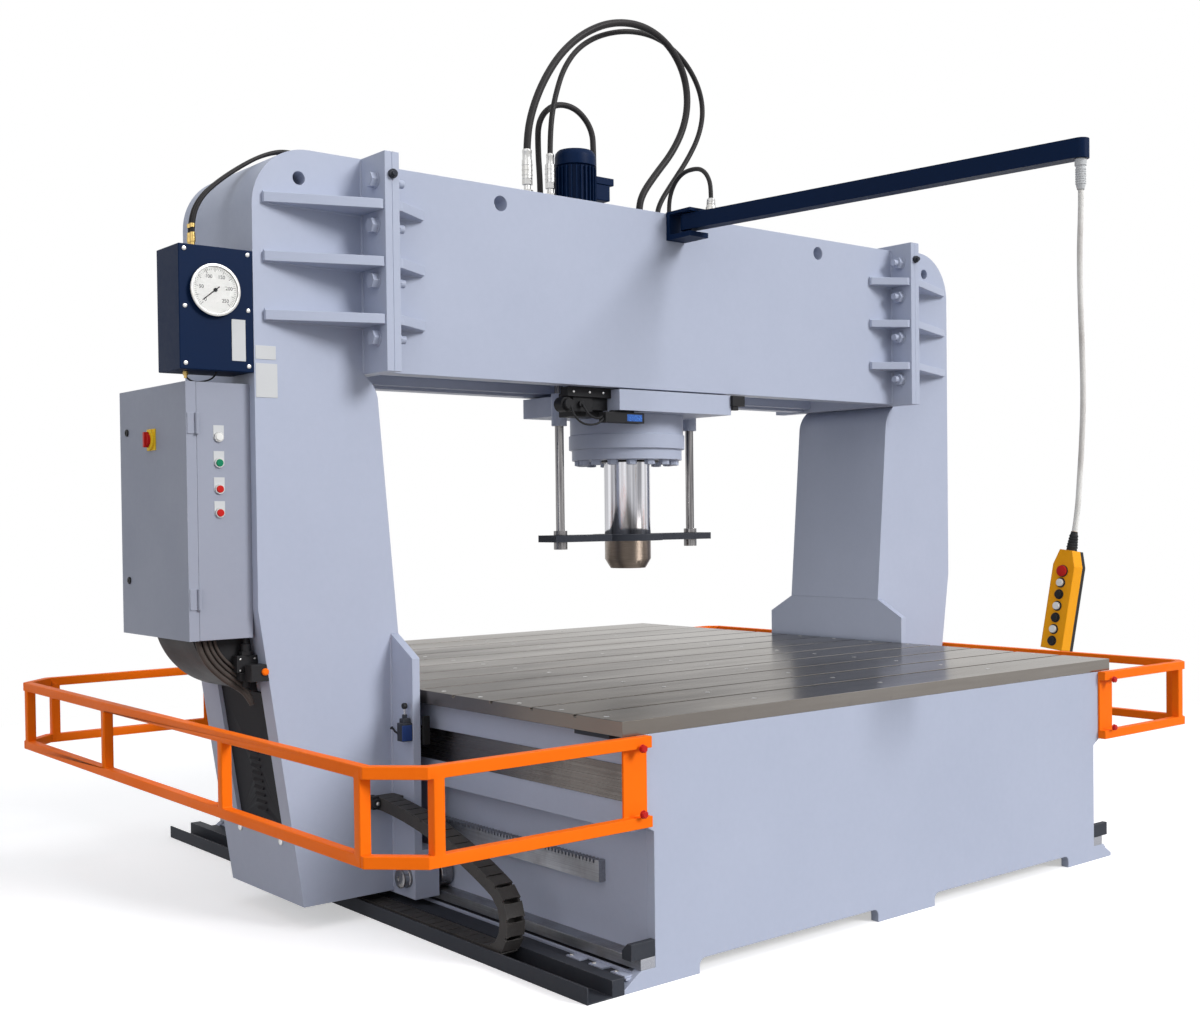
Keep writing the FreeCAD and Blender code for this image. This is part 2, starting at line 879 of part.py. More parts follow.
# Beam: two deep plates between end flanges, open between them, with inner ledges.
for label, low in (("beam_front_plate", beam_front), ("beam_back_plate", beam_back - S.BeamPlate)):
    plate = box((-flange_at, flange_at), (low, low + S.BeamPlate), (S.BeamLow, S.BeamTop))
    eyes = [
        cylinder("Y", S.BeamEyeRadius, low - 1, low + S.BeamPlate + 1,
                 (flange_at - S.BeamEyeIn) * side, S.BeamTop - S.BeamEyeInset)
        for side in (-1, 1)
    ]
    node(label, cut(plate, *eyes))

gap_front = beam_front + S.BeamPlate
gap_back = beam_back - S.BeamPlate
ledge_low = S.BeamLow + S.LedgeRise
ledge_top = ledge_low + S.LedgeHigh
node("beam_rails", group(
    box((-flange_at, flange_at), (gap_front, gap_front + S.LedgeDeep), (ledge_low, ledge_top)),
    box((-flange_at, flange_at), (gap_back - S.LedgeDeep, gap_back), (ledge_low, ledge_top))))

flange_span = (S.GantryAt - S.FlangeWide / 2, S.GantryAt + S.FlangeWide / 2)
for label, low in (("beam_flanges", flange_at), ("column_flanges", flange_seam)):
    node(label, group(*[
        box(mirror_span(side, low, low + S.FlangeThick), flange_span, (S.FlangeLow, S.ColumnTop))
        for side in (-1, 1)
    ]))

gussets = []
for side in (-1, 1):
    for end in (-1, 1):
        root = S.GantryAt + S.ColumnDeep / 2 * end
        long_plan = [
            (column_seam, root),
            (column_seam, root + S.GussetOut * end),
            (column_seam + S.GussetNose, root + S.GussetOut * end),
            (column_seam + S.GussetReach, root + S.GussetNose * end),
            (column_seam + S.GussetReach, root),
        ]
        face = S.GantryAt + S.BeamDeep / 2 * end
        short_plan = [
            (flange_at, face),
            (flange_at, root + S.GussetOut * end),
            (flange_at - S.GussetNose, root + S.GussetOut * end),
            (flange_at - S.GussetShort, face + S.GussetNose * end),
            (flange_at - S.GussetShort, face),
        ]
        for level in range(3):
            low = S.GussetFirst + S.GussetPitch * level - S.GussetThick / 2
            for plan in (long_plan, short_plan):
                points = [(x * side, y) for x, y in plan]
                gussets.append(profile("Z", points, low, low + S.GussetThick))
node("gussets", group(*gussets))

# Switch cabinet on the left column, its door hinged at the near edge.
cabinet_y = (column_front + S.CabinetStart, column_front + S.CabinetStart + S.CabinetWide)
cabinet_z = (S.CabinetLow, S.CabinetLow + S.CabinetHigh)
cabinet_face = column_outer + S.CabinetDeep
shell = box((-cabinet_face, -column_outer), cabinet_y, cabinet_z)
room = box(
    (-cabinet_face - 1, -column_outer - S.CabinetSkin),
    (cabinet_y[0] + S.CabinetSkin, cabinet_y[1] - S.CabinetSkin),
    (cabinet_z[0] + S.CabinetSkin, cabinet_z[1] - S.CabinetSkin))
node("cabinet_body", cut(shell, room))
door_back = cabinet_face + S.DoorGap
door_face = door_back + S.DoorThick
hinge_x = -cabinet_face - S.DoorGap / 2
hinge_y = cabinet_y[0] - S.HingeRadius - S.HingeClear
hinges = []
for low in (S.CabinetLow + S.HingeInset, cabinet_z[1] - S.HingeInset - S.HingeHigh):
    hinges.append(cylinder("Z", S.HingeRadius, low, low + S.HingeHigh, hinge_x, hinge_y))
    hinges.append(box((-door_face + S.HingeLeaf, -door_back),
                      (cabinet_y[0] - S.HingeLeaf, cabinet_y[0]), (low, low + S.HingeHigh)))
node("cabinet_door", fuse(box((-door_face, -door_back), cabinet_y, cabinet_z), *hinges))
switch_high = S.CabinetLow + S.CabinetHigh * 0.79
node("door_fittings", group(
    cylinder("X", S.SwitchRadius, -door_face - S.SwitchOut, -door_face,
             cabinet_y[0] + S.CabinetWide / 2, switch_high),
    *[cylinder("X", S.LockRadius, -door_face - S.LockOut, -door_face,
               cabinet_y[1] - S.LockInset, S.CabinetLow + S.CabinetHigh * share)
      for share in (0.22, 0.83)]))

duct_low = S.CabinetLow - S.DuctHigh
node("cable_duct", profile("Y", [
    (-outer_face(S.CabinetLow), S.CabinetLow),
    (-cabinet_face, S.CabinetLow),
    (-outer_face(duct_low) - S.DuctFoot, duct_low, S.DuctRound),
    (-outer_face(duct_low), duct_low),
], recess_start + S.DuctInset, recess_end - S.DuctInset))

# Cover in the recess of the slanted foot, with a row of hooded louvres.
cover_low = S.RecessLow + 2
cover_high = S.RecessTop - 100


def cover_face(high):
    return -outer_face(high) + S.RecessDeep - S.LouvreBack


cover = profile("Y", [
    (cover_face(cover_low), cover_low),
    (cover_face(cover_low) + S.LouvreBack, cover_low),
    (cover_face(cover_high) + S.LouvreBack, cover_high),
    (cover_face(cover_high), cover_high),
], recess_start + 1, recess_end - 1)
louvre_span = (S.LouvreAlong - S.LouvreWide / 2, S.LouvreAlong + S.LouvreWide / 2)
louvres = []
for step in range(9):
    low = S.LouvreFirst + S.LouvrePitch * step
    louvres.append(profile("Y", [
        (cover_face(low) + 1, low),
        (cover_face(low) + 1, low + S.LouvreHigh),
        (cover_face(low) - S.LouvreOut, low),
    ], *louvre_span))
node("louvre_cover", fuse(cover, *louvres))

# Gauge box with its dial and two hoses over the column head.
node("gauge_box", box(
    (-column_outer - S.GaugeBoxDeep, -column_outer),
    (column_front, column_front + S.GaugeBoxWide),
    (S.GaugeBoxLow, S.GaugeBoxLow + S.GaugeBoxHigh)))
node("pressure_gauge", cylinder("Y", S.DialRadius, column_front - S.DialDeep, column_front,
                               -column_outer - S.DialOut, S.DialHigh))
gauge_top = S.GaugeBoxLow + S.GaugeBoxHigh
hose_x = -column_outer - S.GaugeHoseOut
hose_end = -column_outer + S.GaugeHoseEnd
elbow_high = S.ColumnTop + S.ElbowRise
hose_rows = [column_front + S.GaugeHoseIn, column_front + S.GaugeHoseIn + S.GaugeHosePitch]
node("gauge_fittings", group(*[
    cylinder("Z", S.NippleRadius, gauge_top, gauge_top + S.NippleHigh, hose_x, row) for row in hose_rows
] + [
    cylinder("X", S.ElbowRadius, hose_end, hose_end + S.ElbowLong, row, elbow_high) for row in hose_rows
]))
for label, row in zip(("gauge_hose_near", "gauge_hose_far"), hose_rows):
    start = Vector(hose_x.value, row.value, (gauge_top + S.NippleHigh).value)
    finish = Vector(hose_end.value, row.value, elbow_high.value)
    hose(label, [start, start + Vector(0, 0, 54)] + [
        start + Vector(across, 0, rise)
        for across, rise in ((22, 124), (72, 186), (142, 240), (219, 281), (297, 303))
    ] + [finish - Vector(52, 0, 0), finish], 12)

trip_y = (S.GantryAt - S.TripFrom, S.GantryAt - S.TripFrom + S.TripWide)
trip_top = S.TripLow + S.TripHigh
node("limit_switch", fuse(
    box((-plate_inner, -plate_inner + S.TripDeep), trip_y, (S.TripLow, trip_top)),
    cylinder("Z", S.TripKnob, trip_top, trip_top + S.TripKnobHigh, -plate_inner + S.TripDeep / 2,
             trip_y[0] + S.TripWide / 2)))

# Drag chain: links along a lower run in the channel, a bend and an upper run to the
# near plate. Each link has two side plates and two crossbars, and pins join the links.
chain_x = -channel_outer + S.ChainInset
half_chain = S.ChainThick.value / 2
bend_radius = S.ChainBend.value - half_chain
bend_middle = Vector(0, (S.GantryAt - S.ChainBendAt).value, S.ChainLow.value + S.ChainBend.value)
run_start = Vector(0, (S.GantryAt - S.ChainStart).value, S.ChainLow.value + half_chain)
run_end = Vector(0, (column_front - S.ChainEndAway).value, S.ChainEndHigh.value)
lead = math.radians(22)
bend_end = bend_middle + Vector(0, -math.sin(lead), math.cos(lead)) * bend_radius
chord = run_end - bend_end
bow = S.ChainSag.value - math.sqrt(S.ChainSag.value**2 - chord.Length**2 / 4)
run_crown = (bend_end + run_end) / 2 + Vector(0, -chord.z, chord.y).normalize() * bow
bend_start = bend_middle - Vector(0, 0, bend_radius)
chain_path = Part.Wire([
    Part.LineSegment(run_start, bend_start).toShape(),
    Part.Arc(bend_start, bend_middle - Vector(0, bend_radius, 0), bend_end).toShape(),
    Part.Arc(bend_end, run_crown, run_end).toShape(),
])
hinge_spots = chain_path.discretize(Number=round(chain_path.Length / S.LinkPitch.value) + 1)
chain_sides = ((0, S.LinkSide), (S.ChainWide - S.LinkSide, S.ChainWide))
links = []
for start, end in zip(hinge_spots, hinge_spots[1:]):
    reach = (end - start).Length / 2
    along = (S.LinkGap / 2 - reach, -S.LinkGap / 2 + reach)
    pieces = [box(side, (1 - reach, reach - 1), (-S.ChainThick / 2, S.ChainThick / 2))
              for side in chain_sides]
    for low in (-S.ChainThick / 2, S.ChainThick / 2 - S.LinkBar):
        pieces.append(box((0, S.ChainWide), along, (low, low + S.LinkBar)))
    link = fuse(*pieces)
    tilt = math.degrees(math.atan2(end.z - start.z, end.y - start.y))
    link.Placement = Placement((start + end) / 2, Rotation(Vector(1, 0, 0), tilt))
    bind(link, "Placement.Base.x", chain_x)
    links.append(link)
pins = [cylinder("X", S.LinkPin, chain_x + low, chain_x + high, spot.y, spot.z)
        for spot in hinge_spots[1:-1] for low, high in chain_sides]
node("drag_chain", fuse(
    *links, *pins,
    box((chain_x, -column_inner), (run_end.y - 2, column_front),
        (S.ChainEndHigh - S.ChainThick / 2, S.ChainEndHigh + S.ChainThick / 2))))

# Carriage: the block under the beam with rod bushes, hung on the ledges.
middle = S.CarriageAt
carriage_top = S.BeamLow - S.BeamClear
half_block = S.CarriageWide / 2
block = box((middle - half_block, middle + half_block),
            (S.GantryAt - S.CarriageDeep / 2, S.GantryAt + S.CarriageDeep / 2),
            (S.CarriageLow, carriage_top))
lugs = box((middle - S.RodAlong, middle + S.RodAlong),
          (S.GantryAt - S.BushRadius, S.GantryAt + S.BushRadius), (S.CarriageLow, carriage_top))
bushes = [cylinder("Z", S.BushRadius, S.BushLow, carriage_top, middle + S.RodAlong * side, S.GantryAt)
          for side in (-1, 1)]
bores = [cylinder("Z", S.RodRadius + S.RamClear, S.BushLow - 1, carriage_top + 1,
                  middle + S.RodAlong * side, S.GantryAt) for side in (-1, 1)]
barrel_bore = cylinder("Z", S.BarrelRadius, S.CarriageLow - 1, carriage_top + 1, middle, S.GantryAt)
node("carriage_block", cut(fuse(block, lugs, *bushes), barrel_bore, *bores))

hanger_half = S.BeamDeep / 2 - S.BeamPlate - S.LedgeDeep - S.HangerGap
lip_half = S.BeamDeep / 2 - S.BeamPlate - S.HangerGap
lip_low = ledge_top + S.LipGap
hanger_points = [
    (S.GantryAt - hanger_half, carriage_top),
    (S.GantryAt + hanger_half, carriage_top),
    (S.GantryAt + hanger_half, lip_low),
    (S.GantryAt + lip_half, lip_low),
    (S.GantryAt + lip_half, lip_low + S.LipHigh),
    (S.GantryAt + S.TankDeep / 2, lip_low + S.LipHigh),
    (S.GantryAt + S.TankDeep / 2, S.TankLow),
    (S.GantryAt - S.TankDeep / 2, S.TankLow),
    (S.GantryAt - S.TankDeep / 2, lip_low + S.LipHigh),
    (S.GantryAt - lip_half, lip_low + S.LipHigh),
    (S.GantryAt - lip_half, lip_low),
    (S.GantryAt - hanger_half, lip_low),
]
node("carriage_hangers", group(*[
    profile("X", hanger_points, middle + low, middle + low + S.HangerThick)
    for low in (-S.HangerAlong, S.HangerAlong - S.HangerThick)
]))

bore_radius = S.RamRadius + S.RamClear
node("cylinder", turned([
    (bore_radius, S.GlandRingLow),
    (S.GlandRingRadius, S.GlandRingLow),
    (S.GlandRingRadius, S.CollarLow),
    (S.CollarRadius, S.CollarLow),
    (S.CollarRadius, S.HeadLow),
    (S.HeadRadius, S.HeadLow),
    (S.HeadRadius, S.CarriageLow),
    (S.BarrelRadius, S.CarriageLow),
    (S.BarrelRadius, S.BarrelTop),
    (0, S.BarrelTop),
    (0, S.BarrelTop - 30),
    (bore_radius, S.BarrelTop - 30),
], middle, S.GantryAt))

valve_y = (S.GantryAt - S.ValveFrom, S.GantryAt - S.ValveFrom + S.ValveDeep)
node("drive_valve", box((middle - half_block - S.ValveWide, middle - half_block), valve_y,
                        (S.ValveLow, S.ValveLow + S.ValveHigh)))
readout_x = middle - S.ReadoutFrom
readout_y = S.GantryAt - S.ReadoutOut
stalk_x = readout_x + (S.ReadoutWide - S.ReadoutStalk) / 2
node("readout", fuse(
    box((readout_x, readout_x + S.ReadoutWide), (readout_y, readout_y + S.ReadoutDeep),
        (S.ReadoutLow, S.ReadoutLow + S.ReadoutHigh)),
    box((stalk_x, stalk_x + S.ReadoutStalk), (readout_y + S.ReadoutDeep / 4, readout_y + S.ReadoutDeep * 0.75),
        (S.ReadoutLow + S.ReadoutHigh, S.CarriageLow))))

# Ram: the rod with its nose, the tie bar and the two guide rods that keep it straight.
node("ram_rod", turned([
    (0, S.NoseLow),
    (S.NoseRadius, S.NoseLow),
    (S.RamRadius, S.NoseHigh),
    (S.RamRadius, S.RamTop),
    (0, S.RamTop),
], middle, S.GantryAt))
tie_span = (S.TieLow, S.TieLow + S.TieThick)
bar = box((middle - S.TieWide / 2, middle + S.TieWide / 2),
          (S.GantryAt - S.TieDeep / 2, S.GantryAt + S.TieDeep / 2), tie_span)
ring = cylinder("Z", S.TieRing, *tie_span, middle, S.GantryAt)
seat = 0.2
holes = [cylinder("Z", S.RamRadius + seat, S.TieLow - 1, S.TieLow + S.TieThick + 1, middle, S.GantryAt)]
holes += [cylinder("Z", S.RodRadius + seat, S.TieLow - 1, S.TieLow + S.TieThick + 1,
                   middle + S.RodAlong * side, S.GantryAt) for side in (-1, 1)]
node("tie_bar", cut(fuse(bar, ring), *holes))
rods = []
for side in (-1, 1):
    along = middle + S.RodAlong * side
    rods.append(fuse(
        cylinder("Z", S.RodRadius, S.TieLow - S.RodNutHigh, S.RodTop, along, S.GantryAt),
        cylinder("Z", S.RodNutRadius, S.TieLow - S.RodNutHigh, S.TieLow, along, S.GantryAt),
        cylinder("Z", S.RodNutRadius, S.TieLow + S.TieThick, S.TieLow + S.TieThick + 16,
                 along, S.GantryAt)))
node("guide_rods", group(*rods))

# Power unit over the cylinder: a flat tank with its cover, motor and brass ports.
tank_top = S.TankLow + S.TankHigh
cover_top = tank_top + S.CoverThick
tank_y = (S.GantryAt - S.TankDeep / 2, S.GantryAt + S.TankDeep / 2)
node("power_unit", fuse(
    box((middle - S.TankWide / 2, middle + S.TankWide / 2), tank_y, (S.TankLow, tank_top)),
    box((middle - S.CoverReach, middle + S.TankWide / 2), tank_y, (tank_top, cover_top))))
motor_x = middle - S.MotorAlong
motor = turned([
    (0, cover_top),
    (S.MotorRadius, cover_top),
    (S.MotorRadius, S.MotorShoulder),
    (S.CowlRadius, S.MotorShoulder),
    (S.CowlRadius, S.MotorTop - S.CowlRound),
    (S.CowlRadius - S.CowlRound, S.MotorTop),
    (0, S.MotorTop),
], motor_x, S.GantryAt)
terminal_low = cover_top + S.TerminalLow
terminal_top = terminal_low + S.TerminalHigh
terminal = box((motor_x + S.MotorRadius - S.CowlRound, motor_x + S.MotorRadius + S.TerminalOut),
               (S.GantryAt - S.TerminalDeep / 2 + 10, S.GantryAt + S.TerminalDeep / 2 + 10),
               (terminal_low, terminal_top))
node("pump_motor", fuse(motor, terminal))

# Ports as places across and along from the cylinder's axis, and how high they stand.
ports = ((-444, 0, S.FittingHigh), (-342, 0, S.FittingHigh), (-339, 67, S.FittingMid),
         (72, 0, S.FittingShort), (197, 42, S.FittingShort))
fittings = []
for across, along, high in ports:
    neck = cover_top + high - S.FittingNeck
    fittings.append(fuse(
        cylinder("Z", S.FittingRadius, cover_top, neck, middle + across, S.GantryAt + along),
        cylinder("Z", S.FittingRadius * 0.78, neck, cover_top + high, middle + across, S.GantryAt + along)))
port_x = middle - 110
fittings.append(cylinder("Z", S.PortRadius, terminal_top, terminal_top + S.PortHigh, port_x, S.GantryAt + 42))
node("hose_fittings", group(*fittings))


def top_hose(label, port, points, end, diameter):
    """A hose between two ports of the power unit; points are from the cylinder's axis and the cover."""
    base = Vector(middle.value, S.GantryAt.value, cover_top.value)
    start = Vector(port[0], port[1], sized(port[2]).value)
    finish = Vector(end[0], end[1], sized(end[2]).value)
    hose(label, [base + Vector(*spot) for spot in (start, *points, finish)], diameter)


top_hose("hose_large", ports[0], [
    (-444, 0, 300), (-421, -3, 405), (-370, -5, 518), (-293, -7, 630), (-186, -9, 725), (-53, -10, 792),
    (92, -10, 810), (215, -8, 772), (297, -5, 688), (328, -3, 578), (309, -1, 465), (247, 0, 355),
    (157, 0, 255), (92, 0, 175), (72, 0, 115),
], ports[3], 27)
top_hose("hose_small", ports[1], [
    (-342, 0, 290), (-325, 11, 400), (-291, 25, 500), (-243, 39, 600), (-168, 49, 690), (-58, 53, 760),
    (87, 53, 805), (227, 52, 805), (347, 50, 750), (427, 48, 660), (453, 46, 560), (427, 45, 455),
    (362, 44, 350), (282, 43, 250), (216, 42, 165), (197, 42, 110),
], ports[4], 20)
top_hose("hose_rear", ports[2], [
    (-339, 67, 170), (-348, 65, 280), (-348, 63, 395), (-278, 59, 465), (-180, 53, 465), (-110, 47, 395),
    (-110, 42, 300),
], (-110, 42, S.TerminalLow + S.TerminalHigh + S.PortHigh), 22)

# Jib: the fork on the beam, the arm on its pin, the hanging cable and the pendant.
pivot_y = S.GantryAt - S.PivotOut
fork_x = (S.PivotAcross - S.ForkLeft, S.PivotAcross + S.ForkRight)
fork_y = (beam_front - S.ForkDeep, beam_front)
fork_top = S.ForkLow + S.ForkHigh
pin = cylinder("Z", S.PinRadius, S.ForkLow, fork_top, S.PivotAcross, pivot_y)
fork = fuse(
    box(fork_x, fork_y, (S.ForkLow, S.ForkLow + S.ForkPlate)),
    box(fork_x, fork_y, (fork_top - S.ForkTopPlate, fork_top)),
    box(fork_x, (beam_front - S.ForkPlate, beam_front), (S.ForkLow, fork_top)), pin)
hose_x = S.PivotAcross + 46
hose_clip = box((hose_x - S.ClipWide / 2, hose_x + S.ClipWide / 2), (gap_front, gap_front + S.ClipDeep),
                (S.ClipLow, S.ClipLow + S.ClipHigh))
node("jib_bracket", group(fork, hose_clip))

arm = fuse(
    box((-S.ArmWide / 2, S.ArmWide / 2), (-S.ArmLength, 0), (0, S.ArmHigh)),
    cylinder("Z", S.ArmWide / 2, 0, S.ArmHigh, 0, 0),
    cylinder("Z", S.ArmWide / 2, 0, S.ArmHigh, 0, -S.ArmLength),
    cylinder("Z", S.ArmGlandRadius, S.ArmHigh, S.ArmHigh + S.ArmGlandHigh, 0, -S.ArmGlandOut))
arm_bore = cylinder("Z", S.PinRadius + S.PinClear, -1, S.ArmHigh + 1, 0, 0)
arm_turn = Rotation(Vector(0, 0, 1), S.ArmAngle.value)
swing = cut(arm, arm_bore)
swing.Placement = Placement(Vector(), arm_turn)
bind(swing, "Placement.Rotation.Angle", S.ArmAngle)
node("jib_arm", place(swing, S.PivotAcross, pivot_y, S.ArmLow))

angle = math.radians(S.ArmAngle.value)
tip_x = S.PivotAcross + S.ArmLength * math.sin(angle)
tip_y = pivot_y - S.ArmLength * math.cos(angle)
neck_high = S.ArmLow - S.TipGlandHigh
node("tip_gland", fuse(
    cylinder("Z", S.TipGlandRadius, neck_high, S.ArmLow, tip_x, tip_y),
    cone(S.TipGlandNeck, S.TipGlandRadius, S.TipGlandLow, neck_high, tip_x, tip_y)))

# The cable hangs with a slight bow and leans into the pendant at its lower end.
lateral = Vector(0.745, -0.667, 0)
lean_axis = Vector(0.667, 0.745, 0)
lean = Rotation(lean_axis, S.PendantLean.value)
tip = Vector(tip_x.value, tip_y.value, S.TipGlandLow.value)
cable_points = [tip + lateral * bow - Vector(0, 0, drop) for drop, bow in (
    (0, 0), (59, 0), (179, -5), (319, -3), (459, 1), (599, 4), (729, -1), (834, -8))]
pendant_root = tip - lateral * 24 - Vector(0, 0, 989)
cable_points += [pendant_root + lean.multVec(Vector(0, 0, 60)), pendant_root]
hose("pendant_cable", cable_points, 13)

half_width = S.PendantWide / 2
case = profile("X", [
    (-half_width, -S.BootLength - S.PendantLength),
    (half_width, -S.BootLength - S.PendantLength),
    (half_width, -S.BootLength - S.PendantShoulder),
    (S.PendantNeck / 2, -S.BootLength),
    (-S.PendantNeck / 2, -S.BootLength),
    (-half_width, -S.BootLength - S.PendantShoulder),
], -S.PendantDeep / 2, S.PendantDeep / 2)
boot = cone(S.BootRadius, S.BootNeck, -S.BootLength, 0, 0, 0)
buttons = []
for step in range(int(S.ButtonCount.value)):
    high = -S.BootLength - S.ButtonFirst - S.ButtonPitch * step
    radius = S.ButtonRadius if step else S.StopButtonRadius
    buttons.append(cylinder("X", radius, -S.PendantDeep / 2 - S.ButtonOut, -S.PendantDeep / 2, 0, high))
pendant = fuse(case, boot, *buttons)
pendant.Placement = Placement(pendant_root, lean)
bind(pendant, "Placement.Rotation.Angle", S.PendantLean)
node("pendant", pendant)

# The control cable goes from its clip in the beam over to the gland on the arm.
clip_top = Vector(hose_x.value, (gap_front + S.ClipDeep / 2).value, (S.ClipLow + S.ClipHigh).value)
gland_spot = arm_turn.multVec(Vector(0, -S.ArmGlandOut.value, 0))
gland_high = S.ArmLow + S.ArmHigh + S.ArmGlandHigh
gland_top = gland_spot + Vector(S.PivotAcross.value, pivot_y.value, gland_high.value)
arm_route = [clip_top + Vector(across, along, rise) for across, along, rise in (
    (0, 0, 0), (0, 0, 46), (0, 4, 92), (-1, -3, 138), (-4, -27, 176), (-9, -62, 200), (-14, -100, 211),
    (-19, -140, 212), (-24, -186, 207), (-28, -222, 190), (-31, -248, 160))]
hose("arm_hose", arm_route + [gland_top + Vector(0, 0, 42), gland_top], 16)

# Every object is sound and every node is a valid solid before anything is written.
doc.recompute()
for thing in doc.Objects:
    if "Invalid" in thing.State or "Error" in thing.State:
        raise RuntimeError(f"{thing.Name} {thing.Label} did not recompute: {thing.State}")
for thing in nodes:
    shape = thing.Shape
    if shape.isNull() or not shape.isValid() or not shape.Solids:
        raise RuntimeError(f"{thing.Label} is not a valid solid")

volume = 0
for thing in nodes:
    thing.Shape.exportStep(f"parts/{thing.Label}.step")
    volume += thing.Shape.Volume
print(f"{len(nodes)} nodes, {volume / 1e9:.3f} cubic metres of solid")
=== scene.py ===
import json
import math

import bmesh
import bpy
from mathutils import Matrix, Vector


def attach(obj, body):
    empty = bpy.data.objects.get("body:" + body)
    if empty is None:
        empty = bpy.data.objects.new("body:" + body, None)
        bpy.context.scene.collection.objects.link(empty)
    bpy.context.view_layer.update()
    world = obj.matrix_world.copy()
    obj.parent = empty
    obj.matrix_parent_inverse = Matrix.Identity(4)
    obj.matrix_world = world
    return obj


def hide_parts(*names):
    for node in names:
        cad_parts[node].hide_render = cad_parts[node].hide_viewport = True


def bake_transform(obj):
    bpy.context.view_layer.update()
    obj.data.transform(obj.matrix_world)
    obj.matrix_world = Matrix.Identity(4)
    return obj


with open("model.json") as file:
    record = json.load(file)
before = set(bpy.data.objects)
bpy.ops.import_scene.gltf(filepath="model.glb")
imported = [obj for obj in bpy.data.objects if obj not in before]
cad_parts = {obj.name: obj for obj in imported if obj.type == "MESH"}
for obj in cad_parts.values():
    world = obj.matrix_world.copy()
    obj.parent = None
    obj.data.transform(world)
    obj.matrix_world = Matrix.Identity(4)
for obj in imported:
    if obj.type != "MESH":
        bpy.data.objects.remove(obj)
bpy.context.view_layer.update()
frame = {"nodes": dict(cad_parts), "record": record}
scene = bpy.context.scene
bodyOf = {n: b for b, names in frame["record"]["behaviour"]["bodies"].items() for n in names}


def linked(piece):
    scene.collection.objects.link(piece)
    return piece


# Camera at the photograph's viewing angle
cameraView = {"place": (-3.4911, -4.2217, 1.2417), "yaw": 49.376, "pitch": -1.0323, "roll": -0.6375,
              "lens": 43.762, "shift": (-0.050677, 0.023975), "reach": 60}


def makeCamera(view):
    yaw, pitch, roll = (math.radians(view[k]) for k in ("yaw", "pitch", "roll"))
    ahead = Vector((math.cos(yaw) * math.cos(pitch), math.sin(yaw) * math.cos(pitch), math.sin(pitch)))
    level = Vector((math.sin(yaw), -math.cos(yaw), 0))
    above = level.cross(ahead)
    right = level * math.cos(roll) + above * math.sin(roll)
    up = above * math.cos(roll) - level * math.sin(roll)
    lens = bpy.data.cameras.new("camera")
    lens.lens = view["lens"]
    lens.shift_x, lens.shift_y = view["shift"]
    lens.clip_end = view["reach"]
    camera = linked(bpy.data.objects.new("camera", lens))
    turn = Matrix((right, up, -ahead)).transposed().to_4x4()
    camera.matrix_world = Matrix.Translation(view["place"]) @ turn
    scene.camera = camera


makeCamera(cameraView)
scene.view_settings.view_transform = "Standard"
print("camera set")


# Node helpers: a value is a number, a colour or another node's output
def join(tree, start, end):
    tree.links.new(end, start)


def feed(tree, node, values):
    for key, value in values:
        socket = node.inputs[key]
        if isinstance(value, (int, float)):
            socket.default_value = value
        elif isinstance(value, tuple):
            socket.default_value = (*value, 1)
        else:
            join(tree, value, socket)


def noise(tree, vector, scale, detail=3, rough=0.5, distortion=0.0):
    node = tree.nodes.new("ShaderNodeTexNoise")
    feed(tree, node, (("Vector", vector), ("Scale", scale), ("Detail", detail), ("Roughness", rough),
                      ("Distortion", distortion)))
    return node.outputs["Fac"]


def ranged(tree, value, low, high, toLow=0.0, toHigh=1.0):
    node = tree.nodes.new("ShaderNodeMapRange")
    feed(tree, node, (("Value", value), ("From Min", low), ("From Max", high), ("To Min", toLow),
                      ("To Max", toHigh)))
    return node.outputs["Result"]


def maths(tree, kind, first, second):
    node = tree.nodes.new("ShaderNodeMath")
    node.operation = kind
    feed(tree, node, ((0, first), (1, second)))
    return node.outputs[0]


def blended(tree, factor, first, second):
    node = tree.nodes.new("ShaderNodeMix")
    node.data_type = "RGBA"
    node.clamp_factor = True
    feed(tree, node, (("Factor", factor), ("A", first), ("B", second)))
    return node.outputs["Result"]


def stretched(tree, vector, scale):
    node = tree.nodes.new("ShaderNodeMapping")
    node.inputs["Scale"].default_value = scale
    join(tree, vector, node.inputs["Vector"])
    return node.outputs["Vector"]


def apart(tree, vector):
    node = tree.nodes.new("ShaderNodeSeparateXYZ")
    join(tree, vector, node.inputs[0])
    return node.outputs


# Shared effects as node groups: they give colours, masks, values and heights only
def newGroup(name, inputs, outputs):
    group = bpy.data.node_groups.new(name, "ShaderNodeTree")
    for label, kind, value in inputs:
        socket = group.interface.new_socket(label, in_out="INPUT", socket_type=f"NodeSocket{kind}")
        if value is not None:
            socket.default_value = value
    for label, kind in outputs:
        group.interface.new_socket(label, in_out="OUTPUT", socket_type=f"NodeSocket{kind}")
    return group, group.nodes.new("NodeGroupInput").outputs, group.nodes.new("NodeGroupOutput").inputs


def makeMottleGroup():
    tree, given, made = newGroup(
        "mottle",
        [("Vector", "Vector", None), ("Color", "Color", None), ("Tint", "Color", None),
         ("Amount", "Float", 0.1), ("Broad", "Float", 3.0), ("Fine", "Float", 60.0),
         ("Rough Low", "Float", 0.3), ("Rough High", "Float", 0.5)],
        [("Color", "Color"), ("Roughness", "Float")])
    broad = noise(tree, given["Vector"], given["Broad"], 5, 0.6)
    fine = noise(tree, given["Vector"], given["Fine"], 3, 0.6)
    both = maths(tree, "ADD", maths(tree, "MULTIPLY", broad, 0.7), maths(tree, "MULTIPLY", fine, 0.3))
    spread = ranged(tree, both, 0.32, 0.68)
    share = maths(tree, "MULTIPLY", spread, given["Amount"])
    join(tree, blended(tree, share, given["Color"], given["Tint"]), made["Color"])
    join(tree, ranged(tree, spread, 0.0, 1.0, given["Rough Low"], given["Rough High"]), made["Roughness"])
    return tree


